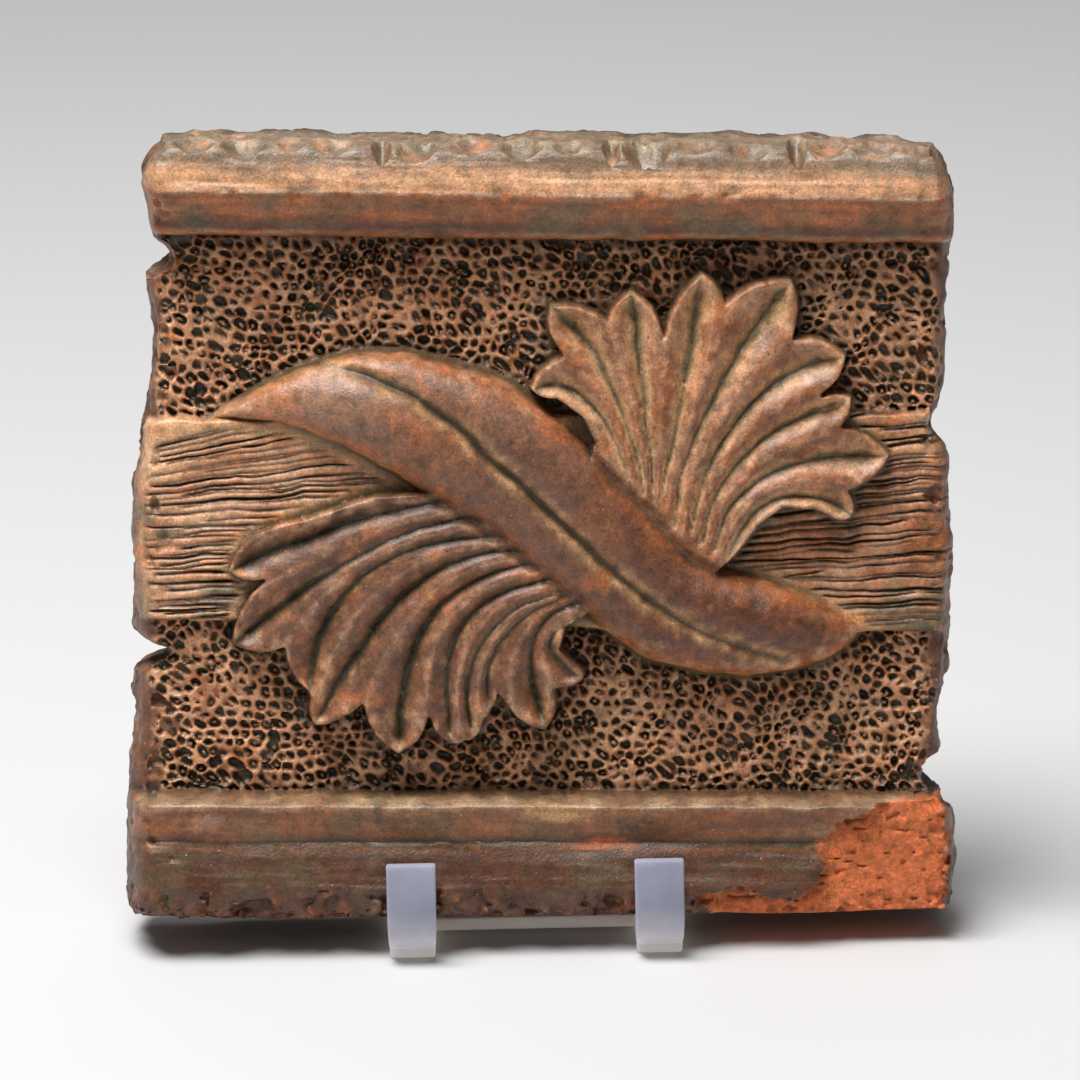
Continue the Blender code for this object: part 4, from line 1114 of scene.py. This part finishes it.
def glaze_colours(points, masks):
    """The colour at every point of the sheet, and how far it lies in a hollow: dirt and painted shade."""
    a, b = masks["a"], masks["b"]
    here = np.stack([a, b], axis=-1)
    fine, coarse = grain(here, 2.2, 3, 71), grain(here, 9, 3, 72)
    w = points[..., 2]
    relief, wide = w - blurred(w, 5), w - blurred(w, 14)
    hollow, proud = ease(0.15, 1.2, -relief), ease(0.12, 0.8, relief)
    plain = np.ones((*a.shape, 3))

    def glazed(colour, part, glaze):
        return colour + (glaze(plain, masks, here, fine, coarse) - colour) * masks[part][..., None]

    colour = glazed(plain * UMBER[:3], "field", field_glaze)
    colour = glazed(colour, "on_comb", comb_glaze)
    colour, mouldings_at = moulding_glaze(colour, masks, points, fine, coarse)
    colour = glazed(colour, "leaf", leaf_glaze)
    colour = glazed(colour, "right", right_fan_glaze)
    colour = glazed(colour, "left", left_fan_glaze)
    carved = np.maximum(np.maximum(masks["leaf"], masks["right"]), masks["left"])
    colour = coats(
        colour,
        (FLESH, carved * proud * ease(-0.3, 0.5, fine) * 0.6),
        (MOSS, np.maximum(masks["leaf"], masks["left"]) * hollow * 0.6),
        # Soot in hollows away from the field and the carving: dirt, and partly painted shade.
        (SOOT, (1 - masks["field"]) * (1 - carved) * hollow * 0.5))
    colour = edge_glaze(colour, masks, points, fine, coarse, mouldings_at)
    for middle_a, middle_b, half_a, half_b, tone, strength in WORN_SPOTS:
        off = np.hypot((a - middle_a) / half_a, (b - middle_b) / half_b) + 0.5 * fine
        colour = coats(colour, (tone, ease(1.1, 0.75, off) * strength))
        hollow = hollow * ease(0.75, 1.1, off)
    fresh = masks["fresh"]
    colour = coats(
        colour,
        (CLAY, fresh),
        (OCHRE, fresh * ease(2.0, 0.3, masks["break_in"]) * 0.6 * ease(-0.2, 0.4, fine)),
        (RUST, fresh * ease(0.2, 0.8, grain(here, 1.3, 2, 77)) * 0.5))
    # Hollows darkened by dirt and painted shade, and wider recesses off the carving by painted shade.
    dirt_and_shade = hollow * (1 - 0.6 * masks["right"]) + 0.5 * ease(0.3, 2.5, -wide) * (1 - carved)
    return np.clip(colour, 0, 1), np.clip(dirt_and_shade, 0, 1)


# Its body, closed.
# The carved face and the broken sides are one skin of fired clay round a solid slab, and its back is
# the flat, plain cut of the wire. The skin is a sheet of small faces that a flat face closes.

SKIRT_RINGS = 9  # of the sheet's faces between the front edges and the back
MOST_FACES = 188000


def carved_sheet():
    """The face, its rolled edges and the broken sides, as one open sheet in mm that ends on the back."""
    across = stations(RIGHT_EDGE - LEFT_EDGE, SIDE_ROUND[0], SIDE_ROUND[1])
    up = stations(HALF_HEIGHT + TOP_EDGE, BOTTOM_ROUND[1], TOP_ROUND, (HALF_HEIGHT - 26, HALF_HEIGHT + 30))
    columns, rows = across.size, up.size
    points, kept, masks = face_points(*np.meshgrid(across, up))
    points = weathered(points, kept, masks)
    colours, hollow = glaze_colours(points, masks)

    number = np.arange(rows * columns).reshape(rows, columns)
    inner = np.r_[number[0], number[1:, -1], number[-1, -2::-1], number[-2:0:-1, 0]]
    rim = points.reshape(-1, 3)[inner]
    count = rim.shape[0]
    ahead, behind = np.roll(rim, -ROLL_STEPS, axis=0), np.roll(rim, ROLL_STEPS, axis=0)
    outward = np.stack([(ahead - behind)[:, 1], -(ahead - behind)[:, 0], np.zeros(count)], axis=-1)
    outward /= np.linalg.norm(outward, axis=-1, keepdims=True) + 1e-9
    stands = rim[:, 1] < -HALF_HEIGHT + 0.5
    rings, ring_colours = [], []
    for ring in range(1, SKIRT_RINGS + 1):
        share = ring / SKIRT_RINGS
        placed = rim.copy()
        placed[:, 2] = rim[:, 2] * (1 - share)
        bite = (0.7 * grain(placed, 5, 4, 61) + 0.2) * ease(0, 0.3, share) + share * BACK_INSET
        rings.append(placed - outward * (bite * (1 - stands))[:, None])
        bare = 0.5 * ease(-0.1, 0.8, grain(placed, 6, 3, 78))
        wiped = ease(0.5, 1, share) * 0.7
        ring_colours.append(coats(np.ones((count, 3)) * SIDE_BROWN[:3], (CLAY, bare), (BACK_CLAY, wiped)))
    every_point = np.concatenate([points.reshape(-1, 3)] + rings)
    every_colour = np.concatenate([colours.reshape(-1, 3)] + ring_colours)

    corners = [number[:-1, :-1], number[:-1, 1:], number[1:, 1:], number[1:, :-1]]
    quads = [np.stack(corners, axis=-1).reshape(-1, 4)]
    for ring in range(SKIRT_RINGS):
        outer = rows * columns + ring * count + np.arange(count)
        quads.append(np.stack([inner, outer, np.roll(outer, -1), np.roll(inner, -1)], axis=-1))
        inner = outer
    quads = np.concatenate(quads)
    mesh = bpy.data.meshes.new("carved_sheet")
    mesh.vertices.add(len(every_point))
    mesh.vertices.foreach_set("co", every_point.ravel())
    mesh.loops.add(quads.size)
    mesh.loops.foreach_set("vertex_index", quads.ravel())
    mesh.polygons.add(len(quads))
    mesh.polygons.foreach_set("loop_start", np.arange(0, quads.size, 4))
    mesh.update(calc_edges=True)
    tint = mesh.attributes.new("tint", "FLOAT_COLOR", "POINT")
    tint.data.foreach_set("color", np.c_[every_colour, np.ones(len(every_colour))].ravel())
    for label, on_face in (("hollow", hollow), ("fresh", masks["fresh"])):
        values = np.concatenate([on_face.reshape(-1), np.zeros(count * SKIRT_RINGS)])
        mesh.attributes.new(label, "FLOAT", "POINT").data.foreach_set("value", values)
    return mesh


def close_back(mesh):
    """Puts the sheet's open rim on the back plane and fills it with one flat face."""
    bm = bmesh.new()
    bm.from_mesh(mesh)
    rim = [edge for edge in bm.edges if edge.is_boundary]
    for vert in {vert for edge in rim for vert in edge.verts}:
        vert.co.z = 0
    filled = bmesh.ops.holes_fill(bm, edges=rim, sides=0)["faces"]
    bmesh.ops.triangulate(bm, faces=filled)
    bmesh.ops.recalc_face_normals(bm, faces=bm.faces)
    bm.to_mesh(mesh)
    bm.free()
    return mesh


def glazed_terracotta():
    """Thin dark glaze on clay, dull in its hollows and half polished where hands and rain wore it."""
    made, tree, shader = new_material("dark glazed terracotta")
    where = millimetres(tree)
    plain = (1, 1, 1, 1)
    colour = place(tree, "ShaderNodeAttribute", attribute_name="tint").outputs["Color"]
    hollow = place(tree, "ShaderNodeAttribute", attribute_name="hollow").outputs["Fac"]
    fresh = place(tree, "ShaderNodeAttribute", attribute_name="fresh").outputs["Fac"]
    for size, contrast, low, high, share in (
            (3.2, 3.0, (0.72, 0.72, 0.7, 1), (1.22, 1.18, 1.12, 1), 0.5),
            (0.6, 3.0, (0.7, 0.69, 0.67, 1), (1.24, 1.23, 1.2, 1), 0.5),
            (1.5, 7.0, plain, (1.28, 1.12, 0.98, 1), 0.0),
            (2.6, 7.0, plain, (0.62, 0.68, 0.62, 1), -0.3)):
        cloud = mottled(tree, where, size, contrast, low, high, share)
        colour = blended(tree, 1.0, colour, cloud, "MULTIPLY")
    colour = blended(tree, specks(tree, where, 1.4, 0.2, 0.5), colour, paint(48, 38, 28))
    colour = blended(tree, specks(tree, where, 1.9, 0.2, 0.25), colour, paint(206, 170, 132))
    # Hollows are darkened towards near black: dirt and pooled glaze, and partly painted shade.
    dirt_and_shade = sum_of(tree, "MULTIPLY", hollow, 0.55, use_clamp=True)
    colour = blended(tree, dirt_and_shade, colour, paint(34, 32, 20))
    tree.links.new(colour, shader.inputs["Base Color"])
    gloss = mottled(tree, where, 5.0, 2.0, (0.3, 0.3, 0.3, 1), (0.56, 0.56, 0.56, 1))
    tree.links.new(blended(tree, fresh, gloss, (0.9, 0.9, 0.9, 1)), shader.inputs["Roughness"])
    crumbs = place(tree, "ShaderNodeTexNoise",
                   {"Vector": where, "Scale": 1.5, "Detail": 2.5, "Roughness": 0.65})
    bump = place(tree, "ShaderNodeBump",
                 {"Height": crumbs.outputs["Fac"], "Strength": 0.5, "Distance": 0.3 * MM})
    tree.links.new(bump.outputs[0], shader.inputs["Normal"])
    return made


sheet = bpy.data.objects.new("carved_tile", carved_sheet())
bpy.context.scene.collection.objects.link(sheet)
fewer = sheet.modifiers.new("fewer", "DECIMATE")
fewer.ratio = MOST_FACES / (2 * len(sheet.data.polygons))
fewer.use_collapse_triangulate = True
seen = sheet.evaluated_get(bpy.context.evaluated_depsgraph_get())
sheet.data = close_back(bpy.data.meshes.new_from_object(seen))
sheet.modifiers.clear()
leaning = Matrix.Rotation(math.pi / 2 - LEAN, 4, "X") @ Matrix.Scale(MM, 4)
sheet.data.transform(Matrix.Translation(tile_point(0, 0, 0)) @ leaning)
sheet.data.shade_smooth()
sheet.data.set_sharp_from_angle(angle=math.radians(60))
sheet.data.materials.append(glazed_terracotta())
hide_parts("terracotta_tile")
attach(sheet, "root")

# The studio.
# A sheet of pale matt paper is the floor and the background. One very large softbox hangs over the
# tile, slightly in front of it, a second one lights the paper behind, and the walls are pale.

floor_mesh = bpy.data.meshes.new("floor")
floor_mesh.from_pydata([(-4, -3, 0), (4, -3, 0), (4, 6, 0), (-4, 6, 0)], [], [(0, 1, 2, 3)])
floor = bpy.data.objects.new("floor", floor_mesh)
bpy.context.scene.collection.objects.link(floor)
floor_paint, _, floor_shader = new_material("pale floor")
floor_shader.inputs["Base Color"].default_value = paint(199.5, 199, 199)
floor_shader.inputs["Roughness"].default_value = 0.9
floor_mesh.materials.append(floor_paint)


def soft_light(name, place_at, aim, size, power):
    lamp = bpy.data.lights.new(name, "AREA")
    lamp.shape = "RECTANGLE"
    lamp.size, lamp.size_y = size
    lamp.energy = power
    light = bpy.data.objects.new(name, lamp)
    light.location = place_at
    light.rotation_euler = (Vector(aim) - Vector(place_at)).to_track_quat("-Z", "Y").to_euler()
    bpy.context.scene.collection.objects.link(light)


soft_light("overhead softbox", (-0.35, -0.3, 1.5), (0, 0, 0.05), (1.0, 0.8), 40)
soft_light("background light", (0, 1.3, 1.5), (0, 1.4, 0), (1.6, 0.8), 5.5)

world = bpy.data.worlds.new("studio walls")
world.use_nodes = True
world.node_tree.nodes["Background"].inputs["Color"].default_value = (1.0, 0.99, 0.985, 1)
world.node_tree.nodes["Background"].inputs["Strength"].default_value = 0.15
bpy.context.scene.world = world
bpy.context.scene.view_settings.view_transform = "Standard"

# The camera.
# It stands 1.5 m away with a long lens, a little above the tile, turned and rolled very slightly,
# as the photograph was taken.

CAMERA_HEIGHT, CAMERA_TURN, CAMERA_ROLL = math.radians(16.0), math.radians(0.7), math.radians(-1.0)
DISTANCE, LENS = 1.5, 214.5
aim = tile_point(0, 0, 30)
flat = math.cos(CAMERA_HEIGHT)
back = Vector((-math.sin(CAMERA_TURN) * flat, -math.cos(CAMERA_TURN) * flat, math.sin(CAMERA_HEIGHT)))
level_right = Vector((math.cos(CAMERA_TURN), -math.sin(CAMERA_TURN), 0))
level_up = back.cross(level_right)
right = level_right * math.cos(CAMERA_ROLL) + level_up * math.sin(CAMERA_ROLL)
up = level_up * math.cos(CAMERA_ROLL) - level_right * math.sin(CAMERA_ROLL)
view = bpy.data.cameras.new("photograph")
view.lens, view.sensor_width = LENS, 36.0
view.shift_x, view.shift_y = -1 / 1080, -8 / 1080
view.clip_end = 12
camera = bpy.data.objects.new("photograph", view)
turn = Matrix((right, up, back)).transposed().to_4x4()
camera.matrix_world = Matrix.Translation(aim + back * DISTANCE) @ turn
bpy.context.scene.collection.objects.link(camera)
bpy.context.scene.camera = camera
